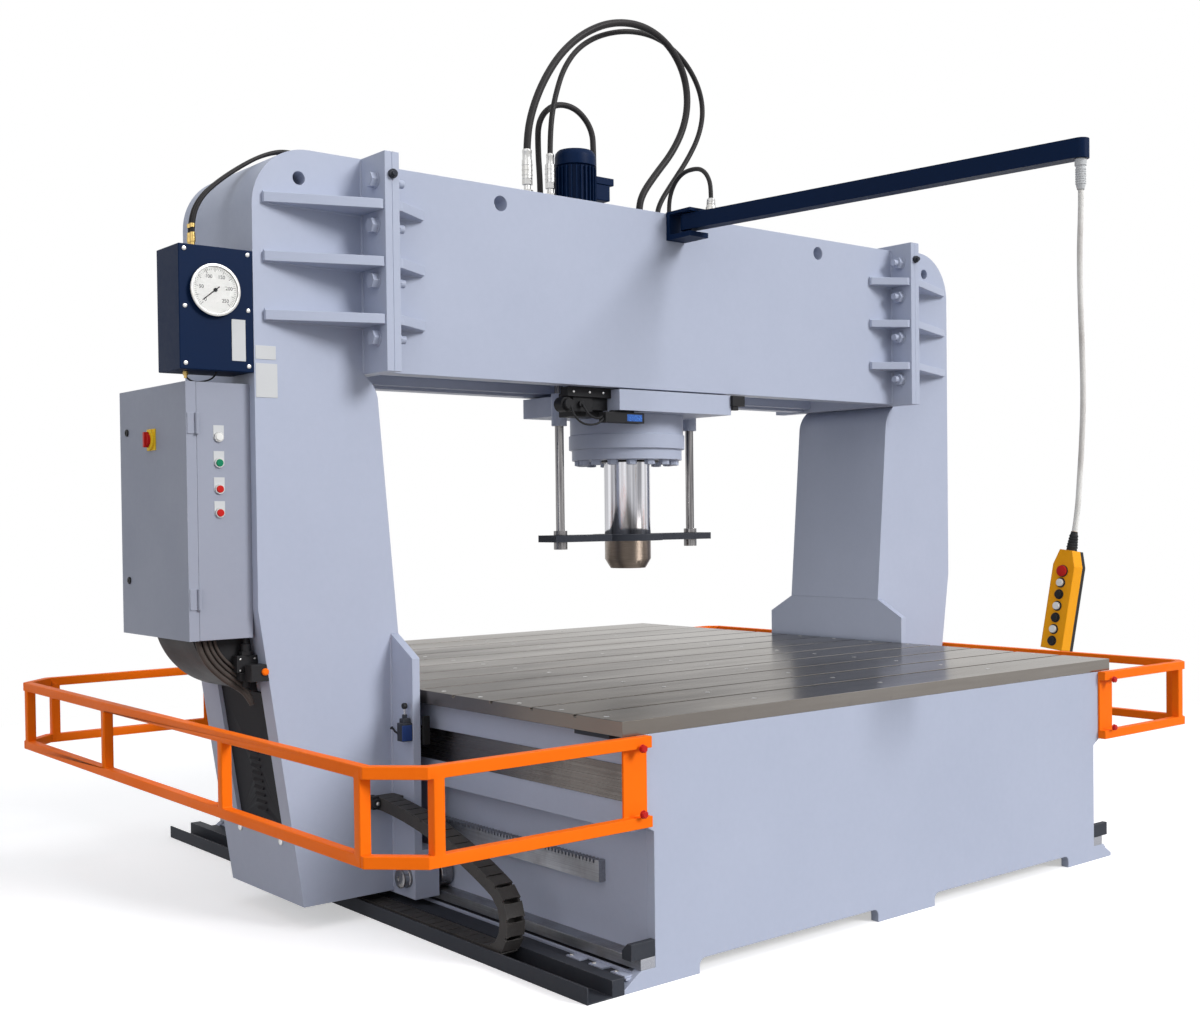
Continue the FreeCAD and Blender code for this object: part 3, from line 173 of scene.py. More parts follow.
def makeEdgeGroup():
    tree, given, made = newGroup(
        "edgeMask", [("Vector", "Vector", None), ("Amount", "Float", 0.5)], [("Mask", "Float")])
    edge = tree.nodes.new("ShaderNodeBevel")
    edge.samples = 4
    edge.inputs["Radius"].default_value = 0.0035
    shape = tree.nodes.new("ShaderNodeNewGeometry")
    dot = tree.nodes.new("ShaderNodeVectorMath")
    dot.operation = "DOT_PRODUCT"
    feed(tree, dot, ((0, edge.outputs["Normal"]), (1, shape.outputs["Normal"])))
    bend = ranged(tree, dot.outputs["Value"], 0.995, 0.86)
    patches = ranged(tree, noise(tree, given["Vector"], 38.0, 5, 0.7), 0.42, 0.62)
    worn = maths(tree, "MULTIPLY", bend, patches)
    join(tree, maths(tree, "MULTIPLY", worn, given["Amount"]), made["Mask"])
    return tree


def makeBrushGroup():
    tree, given, made = newGroup(
        "brushLines",
        [("Vector", "Vector", None), ("Color", "Color", None), ("Tint", "Color", None),
         ("Amount", "Float", 0.4)],
        [("Color", "Color"), ("Height", "Float"), ("Roughness", "Float")])
    lines = noise(tree, given["Vector"], 1.0, 4, 0.6)
    share = maths(tree, "MULTIPLY", ranged(tree, lines, 0.3, 0.7), given["Amount"])
    join(tree, blended(tree, share, given["Color"], given["Tint"]), made["Color"])
    join(tree, lines, made["Height"])
    join(tree, ranged(tree, lines, 0.3, 0.7, 0.26, 0.42), made["Roughness"])
    return tree


mottleGroup = makeMottleGroup()
edgeGroup = makeEdgeGroup()
brushGroup = makeBrushGroup()


def groupNode(tree, group, values):
    node = tree.nodes.new("ShaderNodeGroup")
    node.node_tree = group
    feed(tree, node, values.items())
    return node.outputs


def newMaterial(name):
    material = bpy.data.materials.new(name)
    material.use_nodes = True
    tree = material.node_tree
    place = tree.nodes.new("ShaderNodeTexCoord").outputs["Object"]
    return material, tree, tree.nodes["Principled BSDF"], place


def bump(tree, shader, height, strength, distance):
    node = tree.nodes.new("ShaderNodeBump")
    feed(tree, node, (("Strength", strength), ("Distance", distance), ("Height", height)))
    join(tree, node.outputs["Normal"], shader.inputs["Normal"])


# Paint and plastic differ in the scale of their mottle and in the spread of their roughness
coats = {
    "paint": {"broad": 2.2, "fine": 55.0, "smoother": 0.07, "rougher": 0.09, "grainRough": 0.5,
              "distance": 0.0006},
    "plastic": {"broad": 9.0, "fine": 240.0, "smoother": 0.06, "rougher": 0.1, "grainRough": 0.6,
                "distance": 0.0004},
}


def coatedMaterial(name, look, coat):
    material, tree, shader, place = newMaterial(name)
    mottle = groupNode(tree, mottleGroup, {
        "Vector": place, "Color": look["color"], "Tint": look["tint"], "Amount": look["amount"],
        "Broad": coat["broad"], "Fine": coat["fine"], "Rough Low": look["rough"] - coat["smoother"],
        "Rough High": look["rough"] + coat["rougher"]})
    edge = groupNode(tree, edgeGroup, {"Vector": place, "Amount": look["wear"]})
    feed(tree, shader, (("Base Color", blended(tree, edge["Mask"], mottle["Color"], look["edge"])),
                        ("Roughness", mottle["Roughness"]), ("Specular IOR Level", look["shine"])))
    grain = noise(tree, place, look["grain"], 2, coat["grainRough"])
    bump(tree, shader, grain, look["bump"], coat["distance"])
    return material


def steelMaterial(name, look):
    material, tree, shader, place = newMaterial(name)
    lines = groupNode(tree, brushGroup, {
        "Vector": stretched(tree, place, look["stretch"]), "Color": look["color"], "Tint": look["tint"],
        "Amount": look["amount"]})
    stains = ranged(tree, noise(tree, place, look["stainScale"], 6, 0.65, 0.4), 0.45, 0.75)
    stained = maths(tree, "MULTIPLY", stains, look["stainAmount"])
    rough = maths(tree, "ADD", lines["Roughness"], maths(tree, "MULTIPLY", stained, 0.3))
    feed(tree, shader, (("Base Color", blended(tree, stained, lines["Color"], look["stain"])),
                        ("Roughness", maths(tree, "ADD", rough, look["rough"] - 0.34)), ("Metallic", 1.0)))
    bump(tree, shader, lines["Height"], look["bump"], 0.0003)
    return material


# Each row lists its values in the order of the keys above it
paintKeys = ("color", "tint", "amount", "rough", "edge", "wear", "grain", "bump", "shine")
paints = {
    "bodyPaint": ((0.43, 0.468, 0.585), (0.385, 0.422, 0.535), 0.6, 0.45, (0.6, 0.63, 0.7), 0.35, 420.0,
                  0.12, 0.22),
    "boxPaint": ((0.325, 0.345, 0.42), (0.29, 0.31, 0.385), 0.5, 0.5, (0.55, 0.57, 0.62), 0.3, 900.0, 0.2,
                 0.15),
    "navyPaint": ((0.0012, 0.0105, 0.042), (0.002, 0.014, 0.053), 0.5, 0.45, (0.02, 0.04, 0.09), 0.5,
                  500.0, 0.12, 0.08),
    "guardPaint": ((0.98, 0.175, 0.003), (0.93, 0.14, 0.002), 0.5, 0.5, (0.98, 0.25, 0.03), 0.4, 600.0,
                   0.14, 0.1),
    "graphitePaint": ((0.032, 0.036, 0.048), (0.055, 0.058, 0.066), 0.7, 0.5, (0.2, 0.2, 0.21), 0.6, 300.0,
                      0.2, 0.07),
    "coverPaint": ((0.017, 0.0175, 0.021), (0.028, 0.028, 0.032), 0.7, 0.55, (0.1, 0.1, 0.1), 0.5, 300.0,
                   0.2, 0.05),
    "yellowPaint": ((0.86, 0.56, 0.02), (0.8, 0.5, 0.015), 0.4, 0.45, (0.9, 0.7, 0.2), 0.3, 600.0, 0.1,
                    0.15),
}
plastics = {
    "blackPlastic": ((0.018, 0.018, 0.02), (0.03, 0.03, 0.032), 0.6, 0.45, (0.1, 0.1, 0.1), 0.4, 900.0,
                     0.2),
    "chainPlastic": ((0.034, 0.032, 0.032), (0.078, 0.072, 0.068), 0.8, 0.5, (0.16, 0.15, 0.14), 0.6,
                     500.0, 0.25),
    "hoseRubber": ((0.022, 0.021, 0.022), (0.05, 0.046, 0.046), 0.7, 0.42, (0.05, 0.05, 0.05), 0.0, 380.0,
                   0.4),
    "cableGrey": ((0.82, 0.81, 0.78), (0.42, 0.38, 0.36), 0.75, 0.5, (0.7, 0.7, 0.7), 0.0, 300.0, 0.35),
    "whitePlastic": ((0.8, 0.8, 0.78), (0.7, 0.7, 0.68), 0.4, 0.35, (0.8, 0.8, 0.8), 0.1, 600.0, 0.08),
    "redPlastic": ((0.55, 0.018, 0.015), (0.45, 0.012, 0.01), 0.5, 0.3, (0.7, 0.1, 0.08), 0.2, 600.0, 0.08),
    "greenPlastic": ((0.01, 0.22, 0.11), (0.01, 0.17, 0.08), 0.5, 0.3, (0.1, 0.4, 0.2), 0.2, 600.0, 0.08),
    "dialPaper": ((0.83, 0.83, 0.81), (0.78, 0.78, 0.76), 0.3, 0.45, (0.8, 0.8, 0.8), 0.0, 900.0, 0.03),
    "plateGrey": ((0.6, 0.61, 0.62), (0.52, 0.53, 0.54), 0.4, 0.4, (0.7, 0.7, 0.7), 0.1, 900.0, 0.05),
    "switchBlue": ((0.02, 0.045, 0.16), (0.03, 0.06, 0.2), 0.5, 0.4, (0.1, 0.14, 0.3), 0.2, 600.0, 0.08),
    "cableBrown": ((0.05, 0.042, 0.038), (0.11, 0.09, 0.08), 0.7, 0.5, (0.1, 0.1, 0.1), 0.0, 300.0, 0.3),
    "sealRubber": ((0.012, 0.012, 0.013), (0.02, 0.02, 0.02), 0.5, 0.6, (0.03, 0.03, 0.03), 0.0, 500.0,
                   0.2),
}
steelKeys = ("color", "tint", "amount", "rough", "stretch", "stain", "stainScale", "stainAmount", "bump")
steels = {
    "machinedSteel": ((0.36, 0.355, 0.36), (0.2, 0.19, 0.19), 0.6, 0.3, (60.0, 60.0, 420.0),
                      (0.22, 0.2, 0.19), 9.0, 0.3, 0.2),
    "railSteel": ((0.36, 0.37, 0.4), (0.2, 0.2, 0.21), 0.6, 0.4, (300.0, 3.0, 300.0), (0.12, 0.1, 0.09),
                  7.0, 0.5, 0.2),
    # stripSteel's dark brown colour stands in for the dark reflections of the cover strips: painted
    # reflection
    "stripSteel": ((0.15, 0.135, 0.125), (0.085, 0.075, 0.07), 0.6, 0.24, (40.0, 2.0, 380.0),
                   (0.06, 0.05, 0.045), 2.5, 0.5, 0.1),
    "zincSteel": ((0.62, 0.62, 0.62), (0.45, 0.44, 0.42), 0.5, 0.3, (200.0, 200.0, 60.0),
                  (0.4, 0.36, 0.28), 30.0, 0.3, 0.1),
    "brassMetal": ((0.66, 0.47, 0.17), (0.5, 0.34, 0.11), 0.5, 0.3, (150.0, 150.0, 60.0), (0.3, 0.2, 0.08),
                   40.0, 0.35, 0.1),
}
finishes = {}
for name, row in paints.items():
    finishes[name] = coatedMaterial(name, dict(zip(paintKeys, row)), coats["paint"])
for name, row in steels.items():
    finishes[name] = steelMaterial(name, dict(zip(steelKeys, row)))
for name, row in plastics.items():
    finishes[name] = coatedMaterial(name, {"shine": 0.12, **dict(zip(paintKeys, row))}, coats["plastic"])


def makeScreenMaterial(look):
    material, tree, shader, place = newMaterial("screenBlue")
    cells = ranged(tree, noise(tree, place, 420.0, 2, 0.5), 0.4, 0.6)
    color = blended(tree, cells, look["dark"], look["lit"])
    feed(tree, shader, (("Base Color", color), ("Emission Color", color), ("Emission Strength", 0.6),
                        ("Roughness", 0.2)))
    return material


def makeGlassMaterial():
    material, tree, shader, place = newMaterial("dialGlass")
    smear = ranged(tree, noise(tree, place, 30.0, 3, 0.5), 0.3, 0.7, 0.02, 0.06)
    feed(tree, shader, (("Roughness", smear), ("Transmission Weight", 1.0), ("IOR", 1.1)))
    return material


def makeTableMaterial(look):
    material, tree, shader, place = newMaterial("tableSteel")
    spot = apart(tree, place)
    shifted = maths(tree, "ADD", spot["Y"], look["pitch"] / 2)
    row = maths(tree, "FLOOR", maths(tree, "DIVIDE", shifted, look["pitch"]), 0)
    # Per-plank tone and broad streaks along X: partly the steel's own tone, partly painted reflection bands
    plank = tree.nodes.new("ShaderNodeTexWhiteNoise")
    plank.noise_dimensions = "1D"
    join(tree, row, plank.inputs["W"])
    lines = groupNode(tree, brushGroup, {
        "Vector": stretched(tree, place, (1.6, 230.0, 40.0)), "Color": look["color"], "Tint": look["tint"],
        "Amount": 0.6})
    toneAndSheenStreaks = ranged(tree, noise(tree, stretched(tree, place, (0.9, 5.0, 6.0)), 1.0, 5, 0.6), 0.35, 0.68)
    tone = maths(tree, "ADD", maths(tree, "MULTIPLY", toneAndSheenStreaks, 0.42),
                 maths(tree, "MULTIPLY", plank.outputs["Value"], 0.25))
    # Painted reflection: the table is painted darker towards -X and lighter towards +X, a fixed ramp across
    # its width
    half = look["width"] / 2
    tone = maths(tree, "ADD", tone, ranged(tree, spot["X"], -half, half, -0.28, 0.7))
    color = blended(tree, tone, look["dark"], lines["Color"])
    warm = ranged(tree, noise(tree, place, 1.1, 4, 0.6), 0.48, 0.72, 0.0, 0.4)
    color = blended(tree, warm, color, look["warm"])
    # Painted shade: faces that do not point up are blended towards the dark side colour, standing in for
    # dark reflections on the table's edges
    facing = apart(tree, tree.nodes.new("ShaderNodeNewGeometry").outputs["Normal"])
    color = blended(tree, ranged(tree, facing["Z"], 0.3, 0.8, 0.75, 0.0), color, look["side"])
    spots = ranged(tree, noise(tree, place, 26.0, 5, 0.7), 0.62, 0.74, 0.0, 0.4)
    feed(tree, shader, (("Base Color", blended(tree, spots, color, look["dark"])),
                        ("Roughness", ranged(tree, tone, 0.0, 0.9, look["rough"] + 0.1, look["rough"])),
                        ("Metallic", 1.0), ("Specular Tint", look["edge"])))
    bump(tree, shader, lines["Height"], 0.08, 0.0003)
    return material


def makeRodMaterial(look):
    material, tree, shader, place = newMaterial("rodChrome")
    # Painted reflection: broad light and dark bands along the chrome rod's length, painted into its colour
    paintedReflectionBands = ranged(tree, noise(tree, stretched(tree, place, (34.0, 34.0, 0.35)), 1.0, 2, 0.6), 0.4, 0.6)
    color = blended(tree, paintedReflectionBands, look["dark"], look["color"])
    nose = ranged(tree, apart(tree, place)["Z"], look["nose"] - 0.001, look["nose"] + 0.001)
    turned = blended(tree, noise(tree, stretched(tree, place, (30.0, 30.0, 500.0)), 1.0, 4, 0.6),
                     look["noseDark"], look["noseColor"])
    feed(tree, shader, (("Base Color", blended(tree, nose, turned, color)),
                        ("Roughness", ranged(tree, nose, 0.0, 1.0, 0.34, 0.17)), ("Metallic", 1.0)))
    return material


def makeGuideMaterial(look):
    material, tree, shader, place = newMaterial("guideSteel")
    marks = ranged(tree, noise(tree, stretched(tree, place, (90.0, 90.0, 3.0)), 1.0, 4, 0.6), 0.35, 0.65)
    feed(tree, shader, (("Base Color", blended(tree, marks, look["dark"], look["color"])),
                        ("Roughness", ranged(tree, marks, 0.0, 1.0, 0.36, 0.22)), ("Metallic", 1.0)))
    return material


screenLook = {"dark": (0.004, 0.03, 0.16), "lit": (0.02, 0.12, 0.42)}
# side is the painted shade colour of the table's side faces; width sets the span of the painted
# left-to-right reflection ramp
tableLook = {"color": (0.7, 0.68, 0.65), "tint": (0.4, 0.385, 0.37), "dark": (0.125, 0.12, 0.118),
             "warm": (0.31, 0.265, 0.21), "edge": (0.56, 0.545, 0.53), "side": (0.17, 0.15, 0.135),
             "rough": 0.17, "pitch": 0.2, "width": 2.25}
# dark and color are the painted reflection bands of the chrome rod; the nose colours are the turned end's
# own
rodLook = {"color": (0.78, 0.78, 0.82), "dark": (0.2, 0.2, 0.22), "nose": 1.147,
           "noseColor": (0.38, 0.325, 0.28), "noseDark": (0.16, 0.13, 0.11)}
guideLook = {"dark": (0.12, 0.115, 0.12), "color": (0.36, 0.35, 0.35)}
finishes["tableSteel"] = makeTableMaterial(tableLook)
finishes["rodChrome"] = makeRodMaterial(rodLook)
finishes["guideSteel"] = makeGuideMaterial(guideLook)
finishes["screenBlue"] = makeScreenMaterial(screenLook)
finishes["dialGlass"] = makeGlassMaterial()
print("materials made")


# Mesh helpers
def ringTurn(axis):
    return {"X": Matrix.Rotation(math.radians(90), 4, "Y"), "Y": Matrix.Rotation(math.radians(-90), 4, "X"),
            "Z": Matrix.Identity(4)}[axis]


def addBox(bm, low, high, turn=Matrix.Identity(4)):
    low, high = Vector(low), Vector(high)
    place = turn @ Matrix.Translation((low + high) / 2) @ Matrix.Diagonal((*(high - low), 1))
    bmesh.ops.create_cube(bm, size=1, matrix=place)


def addRound(bm, middle, axis, radius, depth, segments=32):
    place = Matrix.Translation(middle) @ ringTurn(axis)
    bmesh.ops.create_cone(bm, cap_ends=True, segments=segments, radius1=radius, radius2=radius, depth=depth,
                          matrix=place)


def addHex(bm, middle, axis, across, depth):
    addRound(bm, middle, axis, across / math.sqrt(3), depth, 6)


def addTurned(bm, middle, axis, points, steps=48):
    place = Matrix.Translation(middle) @ ringTurn(axis)
    verts = [bm.verts.new(place @ Vector((radius, 0, high))) for radius, high in points]
    edges = [bm.edges.new(pair) for pair in zip(verts, verts[1:])]
    bmesh.ops.spin(bm, geom=verts + edges, cent=place.translation, axis=place.to_3x3() @ Vector((0, 0, 1)),
                   angle=math.tau, steps=steps, use_merge=True)


def addDome(bm, middle, axis, radius, high, segments=20, sign=1):
    profile = [(radius, 0), (radius, high * 0.35), (radius * 0.8, high * 0.8), (radius * 0.42, high * 0.97),
               (0.00001, high)]
    addTurned(bm, middle, axis, [(r, h * sign) for r, h in profile], segments)


def shaded(bm, name, material, sharp=32):
    for face in bm.faces:
        face.smooth = True
    for edge in bm.edges:
        edge.smooth = len(edge.link_faces) == 2 and edge.calc_face_angle(0) < math.radians(sharp)
    mesh = bpy.data.meshes.new(name)
    bm.to_mesh(mesh)
    bm.free()
    mesh.materials.append(finishes[material])
    return linked(bpy.data.objects.new(name, mesh))


def finishMesh(bm, name, material, sharp=32):
    bmesh.ops.remove_doubles(bm, verts=bm.verts, dist=0.00002)
    bmesh.ops.recalc_face_normals(bm, faces=bm.faces)
    return shaded(bm, name, material, sharp)


def rounded(piece, width, segments=2):
    edge = piece.modifiers.new("edges", "BEVEL")
    edge.width = width
    edge.segments = segments
    edge.limit_method = "ANGLE"
    edge.angle_limit = math.radians(32)
    edge.harden_normals = True
    edge.use_clamp_overlap = True
    edge.miter_outer = "MITER_ARC"


def placed(piece, body, nodes=()):
    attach(piece, body)
    if nodes:
        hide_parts(*nodes)
    return piece


adders = {"box": addBox, "round": addRound, "hex": addHex, "turned": addTurned, "dome": addDome}


# One piece from a list of forms: each names its adder, then gives what the adder takes
def makePiece(name, finish, body, forms, edge=0, nodes=(), segments=2, turn=None):
    bm = bmesh.new()
    for kind, *values in forms:
        adders[kind](bm, *values)
    if turn is not None:
        bmesh.ops.transform(bm, matrix=turn, verts=bm.verts)
    piece = finishMesh(bm, name, finish)
    if edge:
        rounded(piece, edge, segments)
    return placed(piece, body, nodes)


def bothSides(inner, outer, near, far, low, high):
    return [("box", (min(inner * side, outer * side), near, low),
             (max(inner * side, outer * side), far, high))
            for side in (-1, 1)]


def camelName(node, ending):
    first, *rest = node.split("_")
    return first + "".join(word.title() for word in rest) + ending


def dressed(node, material, width):
    bm = bmesh.new()
    bm.from_mesh(frame["nodes"][node].data)
    bmesh.ops.remove_doubles(bm, verts=bm.verts, dist=0.00001)
    bmesh.ops.dissolve_limit(bm, angle_limit=math.radians(0.8), verts=bm.verts, edges=bm.edges)
    if node in framed:
        bmesh.ops.triangulate(bm, faces=[face for face in bm.faces if len(face.verts) > 4])
    piece = shaded(bm, camelName(node, "Skin"), material)
    rounded(piece, width)
    placed(piece, bodyOf[node], [node])


# Cords first: the hoses and the hanging cable, with their points in millimetres
def curveThrough(name, points, diameter, material):
    curve = bpy.data.curves.new(name, "CURVE")
    curve.dimensions = "3D"
    curve.resolution_u = 10
    curve.bevel_depth = diameter / 2
    curve.bevel_resolution = 5
    curve.use_fill_caps = True
    line = curve.splines.new("NURBS")
    line.points.add(len(points) - 1)
    for spot, point in zip(line.points, points):
        spot.co = (*(number / 1000 for number in point), 1)
    line.order_u = 3
    line.use_endpoint_u = True
    curve.materials.append(finishes[material])
    return linked(bpy.data.objects.new(name, curve))


def meshOf(holder):
    bpy.context.view_layer.update()
    mesh = bpy.data.meshes.new_from_object(holder.evaluated_get(bpy.context.evaluated_depsgraph_get()))
    bpy.data.objects.remove(holder)
    return mesh


gaugeRoute = [(-1727, 2076), (-1727, 2130), (-1698, 2196), (-1640, 2252), (-1573, 2303), (-1504, 2347),
              (-1430, 2373), (-1358, 2361), (-1306, 2361)]
hoses = {
    "gauge_hose_near": {"diameter": 0.012, "points": [(x, -68, z) for x, z in gaugeRoute]},
    "gauge_hose_far": {"diameter": 0.012, "points": [(x, -48, z) for x, z in gaugeRoute]},
    "hose_large": {"diameter": 0.027, "points": [
        (-441, 43, 2510), (-441, 43, 2590), (-418, 40, 2695), (-367, 38, 2808), (-290, 36, 2920),
        (-183, 34, 3015), (-50, 33, 3082), (95, 33, 3100), (218, 35, 3062), (300, 38, 2978),
        (331, 40, 2868), (312, 42, 2755), (250, 43, 2645), (160, 43, 2545), (95, 43, 2465), (75, 43, 2405),
        (75, 43, 2340)]},
    "hose_small": {"diameter": 0.02, "points": [
        (-339, 43, 2510), (-339, 43, 2580), (-322, 54, 2690), (-288, 68, 2790), (-240, 82, 2890),
        (-165, 92, 2980), (-55, 96, 3050), (90, 96, 3095), (230, 95, 3095), (350, 93, 3040),
        (430, 91, 2950), (456, 89, 2850), (430, 88, 2745), (365, 87, 2640), (285, 86, 2540),
        (219, 85, 2455), (200, 85, 2400), (200, 85, 2340)]},
    "hose_rear": {"diameter": 0.022, "points": [
        (-336, 110, 2390), (-336, 110, 2460), (-345, 108, 2570), (-345, 106, 2685), (-275, 102, 2755),
        (-177, 96, 2755), (-107, 90, 2685), (-107, 85, 2590), (-107, 85, 2505)]},
}
for node, look in hoses.items():
    hose = curveThrough(camelName(node, "Line"), look["points"], look["diameter"], "hoseRubber")
    placed(hose, bodyOf[node], [node])

armHose = {"diameter": 0.016, "points": [
    (52, -161.5, 2270), (52, -161.5, 2316), (52, -157.5, 2362), (51, -164.5, 2408), (48, -188.5, 2446),
    (43, -223.5, 2470), (38, -261.5, 2481), (33, -301.5, 2482), (28, -347.5, 2477), (24, -383.5, 2460),
    (21, -409.5, 2430), (19.9, -421.1, 2397), (19.9, -421.1, 2355)]}
armMesh = meshOf(curveThrough("armHoseLine", armHose["points"], armHose["diameter"], "hoseRubber"))
armPiece = linked(bpy.data.objects.new("armHoseBend", armMesh))
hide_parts("arm_hose")
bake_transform(armPiece)

pendantCable = {"diameter": 0.016, "length": 0.99, "points": [
    (197.1, -1804.8, 2169.0), (197.1, -1804.8, 2110.0), (193.4, -1801.5, 1990.0), (194.9, -1802.8, 1850.0),
    (197.9, -1805.5, 1710.0), (200.1, -1807.5, 1570.0), (196.4, -1804.1, 1440.0), (191.1, -1799.5, 1335.0),
    (186.2, -1795.1, 1239.3), (179.2, -1788.8, 1180.0)]}
cableLine = curveThrough("pendantCableLine", pendantCable["points"], pendantCable["diameter"], "cableGrey")
placed(cableLine, "jib", ["pendant_cable"])
print("cords laid")

# CAD pieces with their edges broken and their real finishes; a framed one has faces round an opening
framed = ("guard_sides", "guard_near", "guard_far")
skins = [
    ("bodyPaint", 0.001, "base_mid_rib beam_rails"),
    ("bodyPaint", 0.002, "base_end_front base_end_back inner_plate_left inner_plate_right beam_flanges "
                         "column_flanges gussets carriage_hangers"),
    ("bodyPaint", 0.003, "base_side_left base_side_right beam_front_plate beam_back_plate carriage_block "
                         "power_unit"),
    ("bodyPaint", 0.004, "column_left column_right cylinder"),
    ("boxPaint", 0.002, "cabinet_body"), ("boxPaint", 0.004, "cabinet_door"),
    ("tableSteel", 0.0015, "table_top"), ("stripSteel", 0.0008, "cover_strips"),
    ("railSteel", 0.0015, "rails"), ("graphitePaint", 0.001, "cable_channel"),
    ("graphitePaint", 0.002, "rail_stops tie_bar"),
    ("guardPaint", 0.0035, "guard_near guard_far guard_sides"), ("blackPlastic", 0.002, "readout"),
    ("blackPlastic", 0.003, "cable_duct drive_valve"), ("coverPaint", 0.001, "louvre_cover"),
    ("chainPlastic", 0.0012, "drag_chain"), ("navyPaint", 0.002, "jib_bracket"),
    ("navyPaint", 0.003, "gauge_box jib_arm"), ("rodChrome", 0.0015, "ram_rod"),
    ("guideSteel", 0.001, "guide_rods"),
    ("machinedSteel", 0.002, "wheel_front_left wheel_front_right wheel_back_left wheel_back_right"),
]
for material, width, nodes in skins:
    for node in nodes.split():
        dressed(node, material, width)
for slot in frame["nodes"]["racks"].material_slots:
    slot.material = finishes["railSteel"]
print("CAD pieces dressed")


# Hexagon bolts with washers, as rows on a face
def boltRow(name, spots, axis, sign, look, material, body, washer=0.0):
    across, high = look["across"], look["high"]
    way = Vector([float(axis == label) for label in "XYZ"]) * sign
    forms = []
    for spot in spots:
        base = Vector(spot)
        if washer:
            forms.append(("round", base + way * washer / 2, axis, across * 0.62, washer, 28))
        forms += [("hex", base + way * (washer + high / 2), axis, across, high),
                  ("round", base + way * (washer + high + 0.0006), axis, across * 0.42, 0.0012, 24)]
    makePiece(name, material, body, forms, across * 0.03)


flangeBolts = {"rows": (2.266, 2.128, 1.961, 1.789), "along": (-0.293, 0.379), "out": 1.246, "in": 1.196,
               "across": 0.042, "high": 0.02, "washer": 0.004, "shank": 0.013, "shankOut": 0.046}
jackScrew = {"x": 1.221, "z": 2.279, "head": (-0.355, 0.014, 0.012, 28), "tip": (-0.364, 0.0085, 0.014, 24)}
for side, sideName in ((-1, "Left"), (1, "Right")):
    spots = [(y, z) for y in flangeBolts["along"] for z in flangeBolts["rows"]]
    for face, sign, faceName in (("out", side, "Outer"), ("in", -side, "Inner")):
        boltRow(f"flangeBolts{sideName}{faceName}", [(flangeBolts[face] * side, y, z) for y, z in spots],
                "X", sign, flangeBolts, "bodyPaint", "gantry", flangeBolts["washer"])
    out = (flangeBolts["in"] - flangeBolts["shankOut"] / 2) * side
    makePiece(f"flangeStuds{sideName}", "bodyPaint", "gantry", [
        ("round", (out, y, z), "X", flangeBolts["shank"], flangeBolts["shankOut"], 24) for y, z in spots],
        0.002)
    makePiece(f"jackScrew{sideName}", "graphitePaint", "gantry", [
        ("round", (jackScrew["x"] * side, y, jackScrew["z"]), "Y", *rest)
        for y, *rest in (jackScrew["head"], jackScrew["tip"])], 0.001)

guardBolts = {"x": 1.09, "y": 1.341, "rows": (0.64, 0.47), "across": 0.018, "high": 0.008, "washer": 0.002}
for end, endName in ((-1, "Near"), (1, "Far")):
    spots = [(side * guardBolts["x"], end * guardBolts["y"], z) for side in (-1, 1)
             for z in guardBolts["rows"]]
    boltRow(f"guardBolts{endName}", spots, "Y", end, guardBolts, "redPlastic", "base", guardBolts["washer"])

collarBolts = {"middle": (0.003, 0.043), "radius": 0.178, "count": 16, "low": 1.447, "across": 0.034,
               "high": 0.018}
spots = []
for step in range(collarBolts["count"]):
    turn = math.tau * (step + 0.5) / collarBolts["count"]
    spots.append((collarBolts["middle"][0] + collarBolts["radius"] * math.cos(turn),
                  collarBolts["middle"][1] + collarBolts["radius"] * math.sin(turn), collarBolts["low"]))
boltRow("collarBolts", spots, "Z", -1, collarBolts, "bodyPaint", "carriage")

# Weld beads: rippled runs along the gussets, flanges and inner plates
welds = {"radius": 0.0055, "pitch": 0.0075, "sides": 6, "root": 0.25, "face": 0.288, "middle": 0.043,
         "rows": (1.842, 2.0145, 2.187), "half": 0.015}


def addBead(bm, start, end):
    start, end = Vector(start), Vector(end)
    count = max(2, round((end - start).length / welds["pitch"]))
    turn = (end - start).normalized().to_track_quat("Z", "Y").to_matrix()
    rings = []
    for step in range(count + 1):
        radius = welds["radius"] * (1.0 if step % 2 else 0.8)
        middle = start.lerp(end, step / count)
        ring = []
        for side in range(welds["sides"]):
            angle = math.tau * side / welds["sides"]
            offset = turn @ Vector((math.cos(angle) * radius, math.sin(angle) * radius, 0))
            ring.append(bm.verts.new(middle + offset))
        rings.append(ring)
    for first, second in zip(rings, rings[1:]):
        for side in range(welds["sides"]):
            after = (side + 1) % welds["sides"]
            bm.faces.new((first[side], first[after], second[after], second[side]))
    bm.faces.new(reversed(rings[0]))
    bm.faces.new(rings[-1])


def makeWelds(look):
    for side, sideName in ((-1, "Left"), (1, "Right")):
        runs = []
        for end in (-1, 1):
            root = look["middle"] + look["root"] * end
            face = look["middle"] + look["face"] * end
            for middle in look["rows"]:
                for z in (middle - look["half"], middle + look["half"]):
                    runs += [(1.25, root, z, 1.572, z), (1.192, face, z, 1.058, z)]
            runs += [(1.246, root, 1.69, 1.246, 2.34), (1.196, face, 1.695, 1.196, 2.32),
                     (1.165, root, 0.085, 1.165, 0.872)]
        bm = bmesh.new()
        for x, y, z, lastX, lastZ in runs:
            addBead(bm, (x * side, y, z), (lastX * side, y, lastZ))
        placed(finishMesh(bm, f"weldBeads{sideName}", "bodyPaint", 60), "gantry")


makeWelds(welds)

# Small ground screws in the table
tableScrews = {"x": (-1.095, -0.55, 0.0, 0.55, 1.095), "first": -1.2, "pitch": 0.2, "count": 13,
               "radius": 0.008, "top": 0.709, "proud": 0.0012}
makePiece("tableScrews", "zincSteel", "base", [
    ("dome", (x, tableScrews["first"] + tableScrews["pitch"] * step, tableScrews["top"]), "Z",
     tableScrews["radius"], tableScrews["proud"], 12)
    for x in tableScrews["x"] for step in range(tableScrews["count"])])
print("fasteners set")

